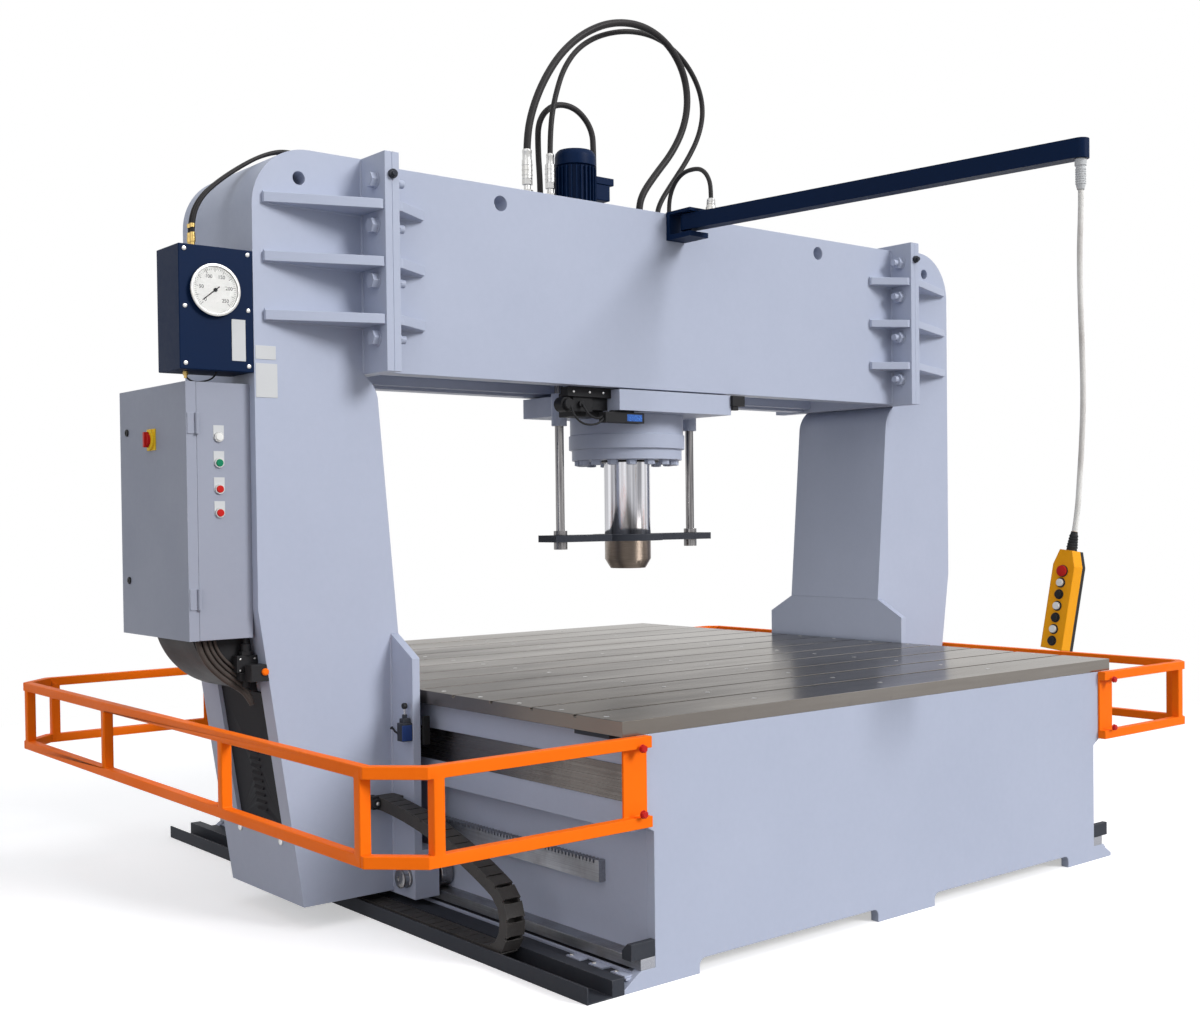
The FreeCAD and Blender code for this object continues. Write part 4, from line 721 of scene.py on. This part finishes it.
# Pressure gauge: bezel, white dial with its marks, needle and glass
gauge = {"middle": (-1.726, -0.207, 1.9), "radius": 0.075, "deep": 0.016, "start": 225, "sweep": 270,
         "marks": 50, "numbers": ("0", "50", "100", "150", "200", "250"), "numberSize": 0.0145}


def makeGauge(look):
    x, y, z = look["middle"]
    radius, deep = look["radius"], look["deep"]
    makePiece("gaugeBezel", "zincSteel", "gantry", [("turned", (x, y, z), "Y", [
        (0.00001, 0), (radius * 0.94, 0), (radius * 0.94, -deep * 0.7), (radius, -deep * 0.75),
        (radius, -deep * 0.93), (radius * 0.97, -deep), (radius * 0.9, -deep * 0.97),
        (radius * 0.89, -deep * 0.6), (0.00001, -deep * 0.6)], 72)],
        nodes=["pressure_gauge"])
    makePiece("gaugeDial", "dialPaper", "gantry",
              [("round", (x, y - deep * 0.63, z), "Y", radius * 0.885, 0.0006, 72)])
    face = y - deep * 0.66
    marks = []
    for step in range(look["marks"] + 1):
        angle = math.radians(look["start"] - look["sweep"] * step / look["marks"])
        long, wide = (0.011, 0.0011) if step % 5 == 0 else (0.006, 0.0006)
        turn = Matrix.Translation((x, face, z)) @ Matrix.Rotation(-angle, 4, "Y")
        marks.append(("box", (radius * 0.83 - long, -0.0002, -wide / 2), (radius * 0.83, 0.0002, wide / 2),
                      turn))
    makePiece("gaugeMarks", "blackPlastic", "gantry", marks)
    angle = math.radians(look["start"] - 6)
    turn = Matrix.Translation((x, face - 0.0016, z)) @ Matrix.Rotation(-angle, 4, "Y")
    makePiece("gaugeNeedle", "blackPlastic", "gantry", [
        ("box", (-0.016, -0.0004, -0.0014), (radius * 0.66, 0.0004, 0.0014), turn),
        ("round", (x, face - 0.002, z), "Y", 0.0055, 0.003, 28)])
    for step, number in enumerate(look["numbers"]):
        text = bpy.data.curves.new("dialNumber", "FONT")
        text.body = number
        text.size = look["numberSize"]
        text.extrude = 0.0001
        text.align_x = text.align_y = "CENTER"
        mesh = meshOf(linked(bpy.data.objects.new("dialNumber", text)))
        angle = math.radians(look["start"] - look["sweep"] * step / 5)
        spot = Vector((x + math.cos(angle) * radius * 0.56, face, z + math.sin(angle) * radius * 0.56))
        mesh.transform(Matrix.Translation(spot) @ Matrix.Rotation(math.radians(90), 4, "X"))
        mesh.materials.clear()
        mesh.materials.append(finishes["blackPlastic"])
        placed(linked(bpy.data.objects.new(f"dialNumber{number}", mesh)), "gantry")
    makePiece("gaugeGlass", "dialGlass", "gantry",
              [("turned", (x, y, z), "Y", [(0.00001, -deep * 0.93), (radius * 0.9, -deep * 0.9)], 72)])


makeGauge(gauge)

# Screws of the foot cover, clip beside the chain's end, screws of the gauge box, bare plates
makePiece("footCoverScrews", "zincSteel", "gantry",
          [("dome", (-1.5018, y, 0.264), "X", 0.011, 0.007, 20, -1) for y in (0.165, -0.119)])
makePiece("chainClip", "blackPlastic", "gantry", [
    ("box", (-1.262, -0.252, 0.345), (-1.24, -0.215, 0.385)),
    ("round", (-1.251, -0.257, 0.365), "Y", 0.014, 0.012, 28)], 0.0012)
makePiece("chainClipScrew", "zincSteel", "gantry",
          [("dome", (-1.251, -0.263, 0.365), "Y", 0.0065, 0.005, 18, -1)])
makePiece("gaugeBoxScrews", "zincSteel", "gantry", [
    ("dome", (x, -0.207, z), "Y", 0.0065, 0.0035, 18, -1)
    for z in (2.012, 1.85, 1.688) for x in (-1.812, -1.622)])
barePlates = {
    "gaugeBoxPlate": {"low": (-1.674, -0.2085, 1.702), "high": (-1.632, -0.207, 1.822)},
    "columnPlate": {"low": (-1.602, -0.2085, 1.6), "high": (-1.534, -0.207, 1.7)},
    "columnPlateSmall": {"low": (-1.602, -0.2085, 1.712), "high": (-1.538, -0.207, 1.752)},
}
for name, look in barePlates.items():
    makePiece(name, "plateGrey", "gantry", [("box", look["low"], look["high"])], 0.0005)

# Fittings with hexagon nuts under each hose; a tall one carries a long ringed sleeve
fittings = {"low": 2.29, "tall": ((-0.441, 0.043, 2.51), (-0.339, 0.043, 2.51)),
            "short": ((-0.336, 0.11, 2.39), (0.075, 0.043, 2.34), (0.2, 0.085, 2.34)),
            "gaugeRows": (-0.068, -0.048)}


def makeFittings(look):
    low = look["low"]
    forms = [("hex", (x, y, low + 0.008), "Z", 0.036, 0.016)
             for x, y, _ in look["tall"] + look["short"]]
    for x, y, top in look["tall"]:
        forms += [("round", (x, y, low + 0.05), "Z", 0.0135, 0.07),
                  ("hex", (x, y, low + 0.1), "Z", 0.036, 0.03),
                  ("round", (x, y, low + 0.125), "Z", 0.0125, 0.03),
                  ("hex", (x, y, low + 0.145), "Z", 0.033, 0.024),
                  ("round", (x, y, top - 0.033), "Z", 0.0185, 0.066, 32)]
        forms += [("round", (x, y, top - 0.052 + ring * 0.018), "Z", 0.0195, 0.006, 32)
                  for ring in range(3)]
    for x, y, top in look["short"]:
        forms += [("round", (x, y, (low + top) / 2), "Z", 0.0145, top - low),
                  ("hex", (x, y, low + 0.028), "Z", 0.034, 0.02),
                  ("round", (x, y, top - 0.008), "Z", 0.0175, 0.016)]
    forms.append(("round", (-0.107, 0.085, 2.496), "Z", 0.015, 0.018))
    makePiece("portFittings", "zincSteel", "carriage", forms, 0.0008, ["hose_fittings"])
    forms = []
    for y in look["gaugeRows"]:
        forms += [("hex", (-1.727, y, 2.033), "Z", 0.017, 0.014),
                  ("round", (-1.727, y, 2.055), "Z", 0.0065, 0.042, 24),
                  ("round", (-1.727, y, 2.068), "Z", 0.0085, 0.016, 24),
                  ("hex", (-1.291, y, 2.361), "X", 0.017, 0.03)]
    makePiece("gaugeFittingsSkin", "brassMetal", "gantry", forms, 0.0006, nodes=["gauge_fittings"])
    makePiece("gaugeHoseRings", "brassMetal", "gantry", [
        ("round", (-1.727, y, z), "Z", 0.0078, 0.012, 24)
        for y in look["gaugeRows"] for z in (2.082, 2.108)], 0.0006)


makeFittings(fittings)
print("gauge and fittings made")

# Switch cabinet: push buttons on its near side, rotary switch and locks on the door, seal behind it
pushButtons = {"x": -1.704, "y": -0.173, "rows": [
    (1.482, "whitePlastic"), (1.407, "greenPlastic"), (1.331, "redPlastic"), (1.262, "redPlastic")]}
doorParts = {"face": -1.8006, "switch": (0.081, 1.48313), "locks": (1.05734, 1.51301), "lockY": 0.275}


def makePushButtons(look):
    x, y = look["x"], look["y"]
    heights = [high for high, _ in look["rows"]]
    makePiece("buttonPlates", "plateGrey", "gantry", [
        ("box", (x - 0.016, y - 0.0012, high - 0.006), (x + 0.016, y, high + 0.034)) for high in heights],
        0.0004)
    makePiece("buttonRings", "zincSteel", "gantry", [("turned", (x, y, high), "Y", [
        (0.0148, 0), (0.0148, -0.004), (0.0135, -0.0062), (0.0112, -0.0062), (0.0112, -0.003),
        (0.00001, -0.003)], 32) for high in heights])
    for step, (high, color) in enumerate(look["rows"]):
        makePiece(f"pushButton{step + 1}", color, "gantry", [("turned", (x, y, high), "Y", [
            (0.0108, -0.001), (0.0108, -0.0085), (0.0095, -0.01), (0.00001, -0.0103)], 32)])


def makeDoorParts(look):
    face = look["face"]
    y, z = look["switch"]
    makePiece("mainSwitchPlate", "yellowPaint", "cabinet_door", [
        ("box", (face - 0.003, y - 0.032, z - 0.032), (face, y + 0.032, z + 0.032)),
        ("turned", (face, y, z), "X", [(0.03, -0.003), (0.03, -0.009), (0.026, -0.011), (0.00001, -0.011)],
         40)],
        0.0008, nodes=["door_fittings"])
    makePiece("mainSwitchKnob", "redPlastic", "cabinet_door", [
        ("round", (face - 0.015, y, z), "X", 0.019, 0.01, 36),
        ("box", (face - 0.026, y - 0.0065, z - 0.023), (face - 0.012, y + 0.0065, z + 0.023))],
        0.0018, segments=3)
    y = look["lockY"]
    forms = []
    for z in look["locks"]:
        forms += [("turned", (face, y, z), "X",
                   [(0.011, 0), (0.011, -0.0035), (0.0095, -0.005), (0.0055, -0.005),
                                                (0.0055, -0.003), (0.00001, -0.003)], 32),
                  ("box", (face - 0.0045, y - 0.0015, z - 0.005), (face - 0.0028, y + 0.0015, z + 0.005))]
    makePiece("doorLocks", "blackPlastic", "cabinet_door", forms)
    makePiece("doorSeal", "sealRubber", "gantry",
              [("box", (-1.7703, -0.1705, 0.8955), (-1.7697, 0.3325, 1.6375))])


makePushButtons(pushButtons)
makeDoorParts(doorParts)
print("cabinet made")

# Pump motor: finned body, end shields, fan cowl with its grille, terminal box
motor = {"x": -0.225, "y": 0.043, "low": 2.29, "shoulder": 2.528, "top": 2.573, "radius": 0.078, "fins": 26}


def makeMotor(look):
    x, y, low, shoulder, top, radius = (look[k] for k in ("x", "y", "low", "shoulder", "top", "radius"))
    forms = [("turned", (x, y, 0), "Z", [
        (0.00001, low), (radius, low), (radius, low + 0.014), (radius * 0.86, low + 0.02),
        (radius * 0.86, shoulder - 0.014), (radius * 0.97, shoulder - 0.01),
        (radius * 0.97, shoulder + 0.02), (radius * 0.93, top - 0.01), (radius * 0.82, top),
        (radius * 0.3, top), (radius * 0.28, top - 0.002), (0.00001, top - 0.002)], 64)]
    for step in range(look["fins"]):
        turn = Matrix.Translation((x, y, 0)) @ Matrix.Rotation(math.tau * step / look["fins"], 4, "Z")
        forms.append(("box", (radius * 0.84, -0.0016, low + 0.022),
                      (radius * 0.985, 0.0016, shoulder - 0.016), turn))
    for ring in range(4):
        spot = radius * (0.4 + 0.12 * ring)
        forms.append(("turned", (x, y, top), "Z", [
            (spot, -0.001), (spot, 0.0), (spot + 0.004, 0.0), (spot + 0.004, -0.001)], 48))
    makePiece("motorHousing", "navyPaint", "carriage", forms, 0.0006, nodes=["pump_motor"])
    makePiece("terminalBox", "navyPaint", "carriage", [
        ("box", (x + 0.06, y - 0.042, 2.402), (x + 0.128, y + 0.062, 2.46)),
        ("box", (x + 0.06, y - 0.045, 2.46), (x + 0.145, y + 0.065, 2.487))], 0.003, segments=3)


makeMotor(motor)

# Wiper at the rod, valve with its plugs, screws and cables, readout's screen, sensor at the far side
makePiece("wiperRing", "blackPlastic", "carriage", [("turned", (0.003, 0.043, 0), "Z", [
    (0.0885, 1.4475), (0.12, 1.4475), (0.12, 1.442), (0.108, 1.44), (0.0885, 1.44)], 64)], 0.001)
makePiece("valvePlugs", "blackPlastic", "carriage", [
    ("box", (-0.455, -0.2, 1.655), (-0.205, -0.158, 1.688)),
    ("box", (-0.425, -0.19, 1.605), (-0.34, -0.157, 1.655)),
    ("round", (-0.452, -0.17, 1.628), "Y", 0.026, 0.045, 36),
    ("round", (-0.452, -0.2, 1.628), "Y", 0.019, 0.016, 32),
    ("box", (-0.335, -0.182, 1.612), (-0.268, -0.157, 1.655)),
    ("round", (-0.395, -0.196, 1.63), "Y", 0.012, 0.014, 28)], 0.0018)
makePiece("valveScrews", "zincSteel", "carriage", [
    ("dome", (x, -0.2, 1.672), "Y", 0.0045, 0.003, 14, -1) for x in (-0.43, -0.36, -0.3, -0.23)])
makePiece("readoutScreen", "screenBlue", "carriage",
          [("box", (-0.218, -0.2326, 1.5745), (-0.15, -0.232, 1.5985))], 0.0002)
makePiece("carriageSensor", "blackPlastic", "carriage", [
    ("box", (0.268, -0.262, 1.645), (0.33, -0.235, 1.684)),
    ("box", (0.272, -0.258, 1.63), (0.3, -0.24, 1.645))], 0.0012)
print("carriage made")

# Limit switch on the near plate's outer face: body, blue cover, roller lever and gland
limitSwitch = {"x": -1.182, "y": -0.312}


def makeLimitSwitch(look):
    x, y = look["x"], look["y"]
    makePiece("limitSwitchBody", "graphitePaint", "gantry", [
        ("box", (x - 0.017, y - 0.017, 0.556), (x + 0.017, y + 0.018, 0.612)),
        ("box", (x - 0.012, y - 0.013, 0.612), (x + 0.013, y + 0.012, 0.626)),
        ("round", (x, y, 0.628), "Z", 0.008, 0.02, 24)], 0.0015, ["limit_switch"])
    makePiece("limitSwitchCover", "switchBlue", "gantry",
              [("box", (x - 0.019, y - 0.0185, 0.558), (x + 0.015, y - 0.014, 0.606))], 0.0012)
    makePiece("limitSwitchLever", "zincSteel", "gantry",
              [("box", (x - 0.0025, y - 0.004, 0.634), (x + 0.0025, y + 0.004, 0.662))], 0.0008)
    makePiece("limitSwitchRoller", "blackPlastic", "gantry", [("turned", (x, y, 0.664), "X", [
        (0.00001, -0.006), (0.0085, -0.006), (0.0095, -0.004), (0.0095, 0.004), (0.0085, 0.006),
        (0.00001, 0.006)], 32)])
    makePiece("limitSwitchGland", "blackPlastic", "gantry", [
        ("hex", (x, y + 0.024, 0.575), "Y", 0.017, 0.012),
        ("round", (x, y + 0.033, 0.575), "Y", 0.0065, 0.008, 24)], 0.0006)


makeLimitSwitch(limitSwitch)

# Small cables: thickness and body, then their points in millimetres
smallCables = {
    "valveCableNear": (0.0075, "carriage", [
        (-447, -206, 1622), (-447, -214, 1604), (-437, -220, 1580), (-415, -224, 1562), (-385, -226, 1556),
        (-352, -226, 1560), (-330, -224, 1570), (-314, -220, 1582)]),
    "valveCableFar": (0.0075, "carriage", [
        (-395, -203, 1630), (-393, -212, 1616), (-384, -218, 1598), (-366, -222, 1584), (-345, -222, 1580),
        (-328, -220, 1584), (-313, -216, 1590)]),
    "limitSwitchCable": (0.0065, "gantry", [
        (-1182, -277, 575), (-1182, -262, 576), (-1182, -248, 582), (-1181, -236, 589), (-1178, -226, 590),
        (-1175, -217, 584)]),
    "gaugeBoxLead": (0.005, "gantry", [
        (-1790, -150, 1673), (-1790, -150, 1662), (-1786, -151, 1650), (-1772, -154, 1641),
        (-1750, -156, 1640), (-1722, -158, 1647), (-1706, -160, 1659), (-1702, -161, 1673)]),
}
for name, (thick, body, points) in smallCables.items():
    placed(curveThrough(name, points, thick, "blackPlastic"), body)

# Steel hubs on the axle bosses
makePiece("axleHubs", "machinedSteel", "gantry", [("turned", (1.165 * side, y, 0.1283), "X", [
    (radius, long * side) for radius, long in (
        (0.031, 0.0), (0.031, 0.008), (0.0285, 0.0095), (0.0285, 0.022), (0.0295, 0.023), (0.0295, 0.029),
        (0.026, 0.031), (0.009, 0.031), (0.008, 0.028), (0.00001, 0.028))], 48)
    for side in (-1, 1) for y in (-0.288, 0.374)])

# Cables in the duct under the cabinet, as thickness, depth and (x, z) points, with their plug and socket
trunkCables = [
    (0.017, -127, [(-1757, 889), (-1753, 868), (-1740, 838), (-1719, 808), (-1690, 780), (-1658, 756),
                   (-1628, 738), (-1606, 716), (-1592, 690)]),
    (0.014, -129, [(-1738, 889), (-1735, 870), (-1723, 843), (-1703, 815), (-1677, 790), (-1648, 768),
                   (-1622, 748), (-1604, 726), (-1594, 700)]),
    (0.012, -127, [(-1722, 889), (-1719, 872), (-1708, 848), (-1690, 823), (-1666, 800), (-1640, 780),
                   (-1617, 757)]),
    (0.01, -127, [(-1707, 889), (-1704, 874), (-1694, 852), (-1677, 830), (-1655, 810), (-1632, 792)]),
]
for step, (thick, deep, points) in enumerate(trunkCables):
    placed(curveThrough(f"trunkCable{step + 1}", [(x, deep, z) for x, z in points], thick, "cableBrown"),
           "gantry")
plug = {"x": -1.617, "y": -0.142}
makePiece("plugSocket", "blackPlastic", "gantry", [
    ("box", (-1.65, -0.155, 0.79), (-1.585, -0.121, 0.84)),
    ("box", (-1.643, -0.163, 0.766), (-1.592, -0.125, 0.79)),
    ("round", (plug["x"], plug["y"], 0.857), "Z", 0.014, 0.034, 28),
    ("hex", (plug["x"], plug["y"], 0.846), "Z", 0.034, 0.012),
    ("round", (plug["x"], plug["y"], 0.884), "Z", 0.008, 0.02, 24),
    ("round", (plug["x"], plug["y"], 0.756), "Z", 0.012, 0.022, 28),
    ("box", (-1.63, -0.2069, 0.765), (-1.57, -0.163, 0.815))], 0.0015)
makePiece("plugScrews", "zincSteel", "gantry",
          [("dome", (x, -0.155, z), "Y", 0.0032, 0.002, 12, -1) for x, z in (
    (-1.64, 0.83), (-1.595, 0.83), (-1.64, 0.797), (-1.595, 0.797), (-1.636, 0.773), (-1.6, 0.773))])
makePiece("plugSocketLamp", "guardPaint", "gantry", [("turned", (-1.588, -0.2069, 0.793), "Y", [
    (0.0105, 0.0), (0.0105, -0.006), (0.007, -0.009), (0.00001, -0.0095)], 28)])

# Plates between the channel and the rail, their tabs and screws, and dark plates under the table's edge
# that are painted shade in the gap there
makePiece("channelPlates", "graphitePaint", "base", bothSides(1.024, 1.128, -1.225, 1.3, 0.03, 0.036),
          0.0008)
makePiece("railFeet", "bodyPaint", "base", bothSides(1.024, 1.112, -1.29, -1.225, 0.03, 0.036)
          + bothSides(1.074, 1.082, -1.285, 1.27, 0.036, 0.044), 0.0008)
footTabs = {"starts": (-1.285, -1.19, -1.09), "long": 0.06, "in": 1.074, "out": 1.112, "low": 0.036,
            "high": 0.041, "screw": (1.101, 0.048)}
tabs, screws = [], []
for start in footTabs["starts"]:
    tabs += bothSides(footTabs["in"], footTabs["out"], start, start + footTabs["long"], footTabs["low"],
                      footTabs["high"])
    screws += [("dome", (footTabs["screw"][0] * side, start + footTabs["screw"][1], footTabs["high"]), "Z",
                0.0062, 0.004, 16) for side in (-1, 1)]
makePiece("footTabs", "bodyPaint", "base", tabs, 0.0008)
makePiece("footTabScrews", "zincSteel", "base", screws)
# Dark plates that stand in for the shade under the table's overhanging edge
makePiece("tableEdgeShadePlates", "graphitePaint", "base", bothSides(1.08, 1.12, -1.24, -1.09, 0.656, 0.668),
          0.0012)

# Wipers at the near edges of the inner plates, against the cover strips
makePiece("stripWipers", "sealRubber", "gantry", bothSides(1.112, 1.134, -0.345, -0.333, 0.542, 0.63),
          0.0012)

# Ferrules over the hose ends, port under the gauge box, ribbed gland over the arm's pivot
makePiece("hoseFerrules", "zincSteel", "carriage", [("turned", (x, 0.043, 2.506), "Z", [
    (radius - 0.003, 0), (radius + 0.0015, 0), (radius + 0.0015, 0.006), (radius, 0.008), (radius, 0.03),
    (radius + 0.001, 0.032), (radius + 0.001, 0.04), (radius - 0.001, 0.043)], 32)
    for x, radius in ((-0.441, 0.0165), (-0.339, 0.0135))])
makePiece("gaugeBoxPort", "brassMetal", "gantry", [
    ("hex", (-1.79, -0.15, 1.664), "Z", 0.013, 0.012),
    ("round", (-1.79, -0.15, 1.655), "Z", 0.0045, 0.01, 20)], 0.0005)
rings = [(0.0132, 2.3152), (0.019, 2.3152), (0.019, 2.325), (0.0165, 2.3265)]
for step in range(4):
    radius, high = 0.0162 - step * 0.0005, 2.33 + step * 0.0065
    rings += [(radius, high), (radius, high + 0.004), (radius - 0.0016, high + 0.0052)]
rings += [(0.0105, 2.3575)]
makePiece("armGland", "zincSteel", "jib", [("turned", (0.0199, -0.4211, 0), "Z", rings, 32)])
print("small fittings made")

# Pendant: its case is the CAD piece; the boot, buttons and their rings are separate
pendant = {"root": (0.1792, -1.7888, 1.18), "axis": (0.667, 0.745, 0), "lean": 9, "deep": 0.058,
           "boot": 0.056, "first": 0.062, "pitch": 0.034, "proud": 0.0092, "split": 0.014,
           "amber": (0.9, 0.375, 0.006), "amberTint": (0.84, 0.32, 0.004), "black": (0.018, 0.018, 0.02),
           "colors": ("redPlastic", "whitePlastic", "blackPlastic", "whitePlastic", "blackPlastic",
                      "whitePlastic", "blackPlastic")}
pendantTurn = (Matrix.Translation(pendant["root"])
               @ Matrix.Rotation(math.radians(pendant["lean"]), 4, Vector(pendant["axis"])))


def makePendantMaterial(look, turn):
    material, tree, shader, place = newMaterial("pendantCase")
    across = turn.to_3x3() @ Vector((1, 0, 0))
    dot = tree.nodes.new("ShaderNodeVectorMath")
    dot.operation = "DOT_PRODUCT"
    join(tree, place, dot.inputs[0])
    dot.inputs[1].default_value = across
    split = across.dot(turn.translation) + look["split"]
    back = ranged(tree, dot.outputs["Value"], split - 0.0004, split + 0.0004)
    amber = groupNode(tree, mottleGroup, {
        "Vector": place, "Color": look["amber"], "Tint": look["amberTint"], "Amount": 0.5,
        "Broad": 9.0, "Fine": 240.0, "Rough Low": 0.28, "Rough High": 0.42})
    feed(tree, shader, (("Base Color", blended(tree, back, amber["Color"], look["black"])),
                        ("Roughness", amber["Roughness"]), ("Specular IOR Level", 0.12)))
    soft = tree.nodes.new("ShaderNodeBevel")
    soft.samples = 6
    soft.inputs["Radius"].default_value = 0.006
    join(tree, soft.outputs["Normal"], shader.inputs["Normal"])
    return material


def makePendant(look, turn):
    case = frame["nodes"]["pendant"]
    finishes["pendantCase"] = makePendantMaterial(look, turn)
    for slot in case.material_slots:
        slot.material = finishes["pendantCase"]
    rings = [(0.0095, 0.0), (0.0105, -0.008)]
    for step in range(5):
        high = -0.012 - step * 0.008
        wide = 0.0128 + step * 0.0008
        rings += [(wide, high), (wide, high - 0.004), (wide - 0.0016, high - 0.0046)]
    rings += [(0.0158, -look["boot"])]
    boot = makePiece("pendantBoot", "blackPlastic", "jib", [("turned", (0, 0, 0), "Z", rings, 32)],
                     turn=turn)
    forms = []
    for step, color in enumerate(look["colors"]):
        high = -look["boot"] - look["first"] - look["pitch"] * step
        radius, wide = (0.0108, 0.0145) if step else (0.0158, 0.0175)
        makePiece(f"pendantButton{step + 1}", color, "jib", [
            ("turned", (-look["deep"] / 2 - look["proud"], 0, high), "X", [
                (radius, 0.0062), (radius, 0.0006), (radius * 0.9, -0.0004), (0.00001, -0.0006)], 32)],
                turn=turn)
        forms.append(("turned", (-look["deep"] / 2, 0, high), "X", [
            (wide, 0.001), (wide, -0.0016), (wide - 0.0012, -0.0028), (wide - 0.0036, -0.0028)], 32))
    makePiece("pendantRings", "blackPlastic", "jib", forms, turn=turn)
    return [case, boot]


onCable = makePendant(pendant, pendantTurn)

# Ribbed gland at the arm's tip
cableExit = (0.1971, -1.8048, 2.169)
rings = [(0.0125, 2.258), (0.017, 2.257), (0.017, 2.238), (0.0138, 2.236), (0.0138, 2.23)]
for step in range(7):
    high = 2.229 - step * 0.0068
    rings += [(0.0152, high), (0.0152, high - 0.0038), (0.0134, high - 0.0046)]
rings += [(0.0132, 2.179), (0.0105, cableExit[2])]
makePiece("tipGlandSkin", "plateGrey", "jib", [("turned", (*cableExit[:2], 0), "Z", rings, 32)],
          nodes=["tip_gland"])
print("pendant made")


# Floor and light: the floor is white to the camera and keeps the object's shadow
room = {"floor": 30.0, "near": 2.6, "far": 5.2, "pale": 0.82, "bounce": 0.4, "lift": 0.46, "fill": 0.42,
        "sky": (0.94, 0.965, 1.0)}


def seenDirectly(tree):
    path = tree.nodes.new("ShaderNodeLightPath").outputs
    seen = maths(tree, "MAXIMUM", path["Is Camera Ray"], path["Is Glossy Ray"])
    return maths(tree, "MAXIMUM", seen, path["Is Transmission Ray"])


def mixedShader(tree, factor, first, second):
    node = tree.nodes.new("ShaderNodeMixShader")
    feed(tree, node, ((0, factor), (1, first), (2, second)))
    return node.outputs["Shader"]


def makeFloor(look):
    bm = bmesh.new()
    bmesh.ops.create_grid(bm, x_segments=1, y_segments=1, size=look["floor"])
    floor = finishMesh(bm, "floor", "dialPaper")
    material, tree, shader, place = newMaterial("floorPale")
    patch = ranged(tree, noise(tree, place, 0.5, 2, 0.5), 0.3, 0.7)
    pale = look["pale"]
    color = blended(tree, patch, (pale, pale, pale * 1.01), (pale * 0.985, pale * 0.985, pale))
    feed(tree, shader, (("Base Color", color), ("Roughness", 0.9), ("Specular IOR Level", 0.0)))
    lift = tree.nodes.new("ShaderNodeEmission")
    lift.inputs["Strength"].default_value = look["lift"]
    shown = tree.nodes.new("ShaderNodeAddShader")
    feed(tree, shown, ((0, shader.outputs["BSDF"]), (1, lift.outputs["Emission"])))
    white = tree.nodes.new("ShaderNodeEmission")
    away = tree.nodes.new("ShaderNodeVectorMath")
    away.operation = "LENGTH"
    join(tree, place, away.inputs[0])
    fade = ranged(tree, away.outputs["Value"], look["near"], look["far"])
    faded = mixedShader(tree, fade, shown.outputs["Shader"], white.outputs["Emission"])
    dull = tree.nodes.new("ShaderNodeBsdfDiffuse")
    feed(tree, dull, (("Color", (look["bounce"],) * 3),))
    mixed = mixedShader(tree, seenDirectly(tree), dull.outputs["BSDF"], faded)
    join(tree, mixed, tree.nodes["Material Output"].inputs["Surface"])
    floor.data.materials.clear()
    floor.data.materials.append(material)


def makeWorld(look):
    world = bpy.data.worlds.new("world")
    world.use_nodes = True
    tree = world.node_tree
    soft = tree.nodes["Background"]
    feed(tree, soft, (("Color", look["sky"]), ("Strength", look["fill"])))
    shown = tree.nodes.new("ShaderNodeBackground")
    feed(tree, shown, (("Color", (1, 1, 1)), ("Strength", 1.0)))
    mixed = mixedShader(tree, seenDirectly(tree), soft.outputs["Background"], shown.outputs["Background"])
    join(tree, mixed, tree.nodes["World Output"].inputs["Surface"])
    scene.world = world


lamps = {
    "keySun": {"aim": (-0.36, 0.83, -0.5), "strength": 2.35, "angle": 22},
    "sideSun": {"aim": (0.85, 0.45, -0.4), "strength": 0.45, "angle": 50},
    "topSun": {"aim": (0.1, 0.25, -1.0), "strength": 0.55, "angle": 50},
}


def makeLamp(name, look):
    lamp = bpy.data.lights.new(name, "SUN")
    lamp.energy = look["strength"]
    lamp.angle = math.radians(look["angle"])
    holder = linked(bpy.data.objects.new(name, lamp))
    holder.rotation_mode = "QUATERNION"
    holder.rotation_quaternion = Vector(look["aim"]).to_track_quat("-Z", "Y")


makeFloor(room)
makeWorld(room)
for name, look in lamps.items():
    makeLamp(name, look)
print("room lit")
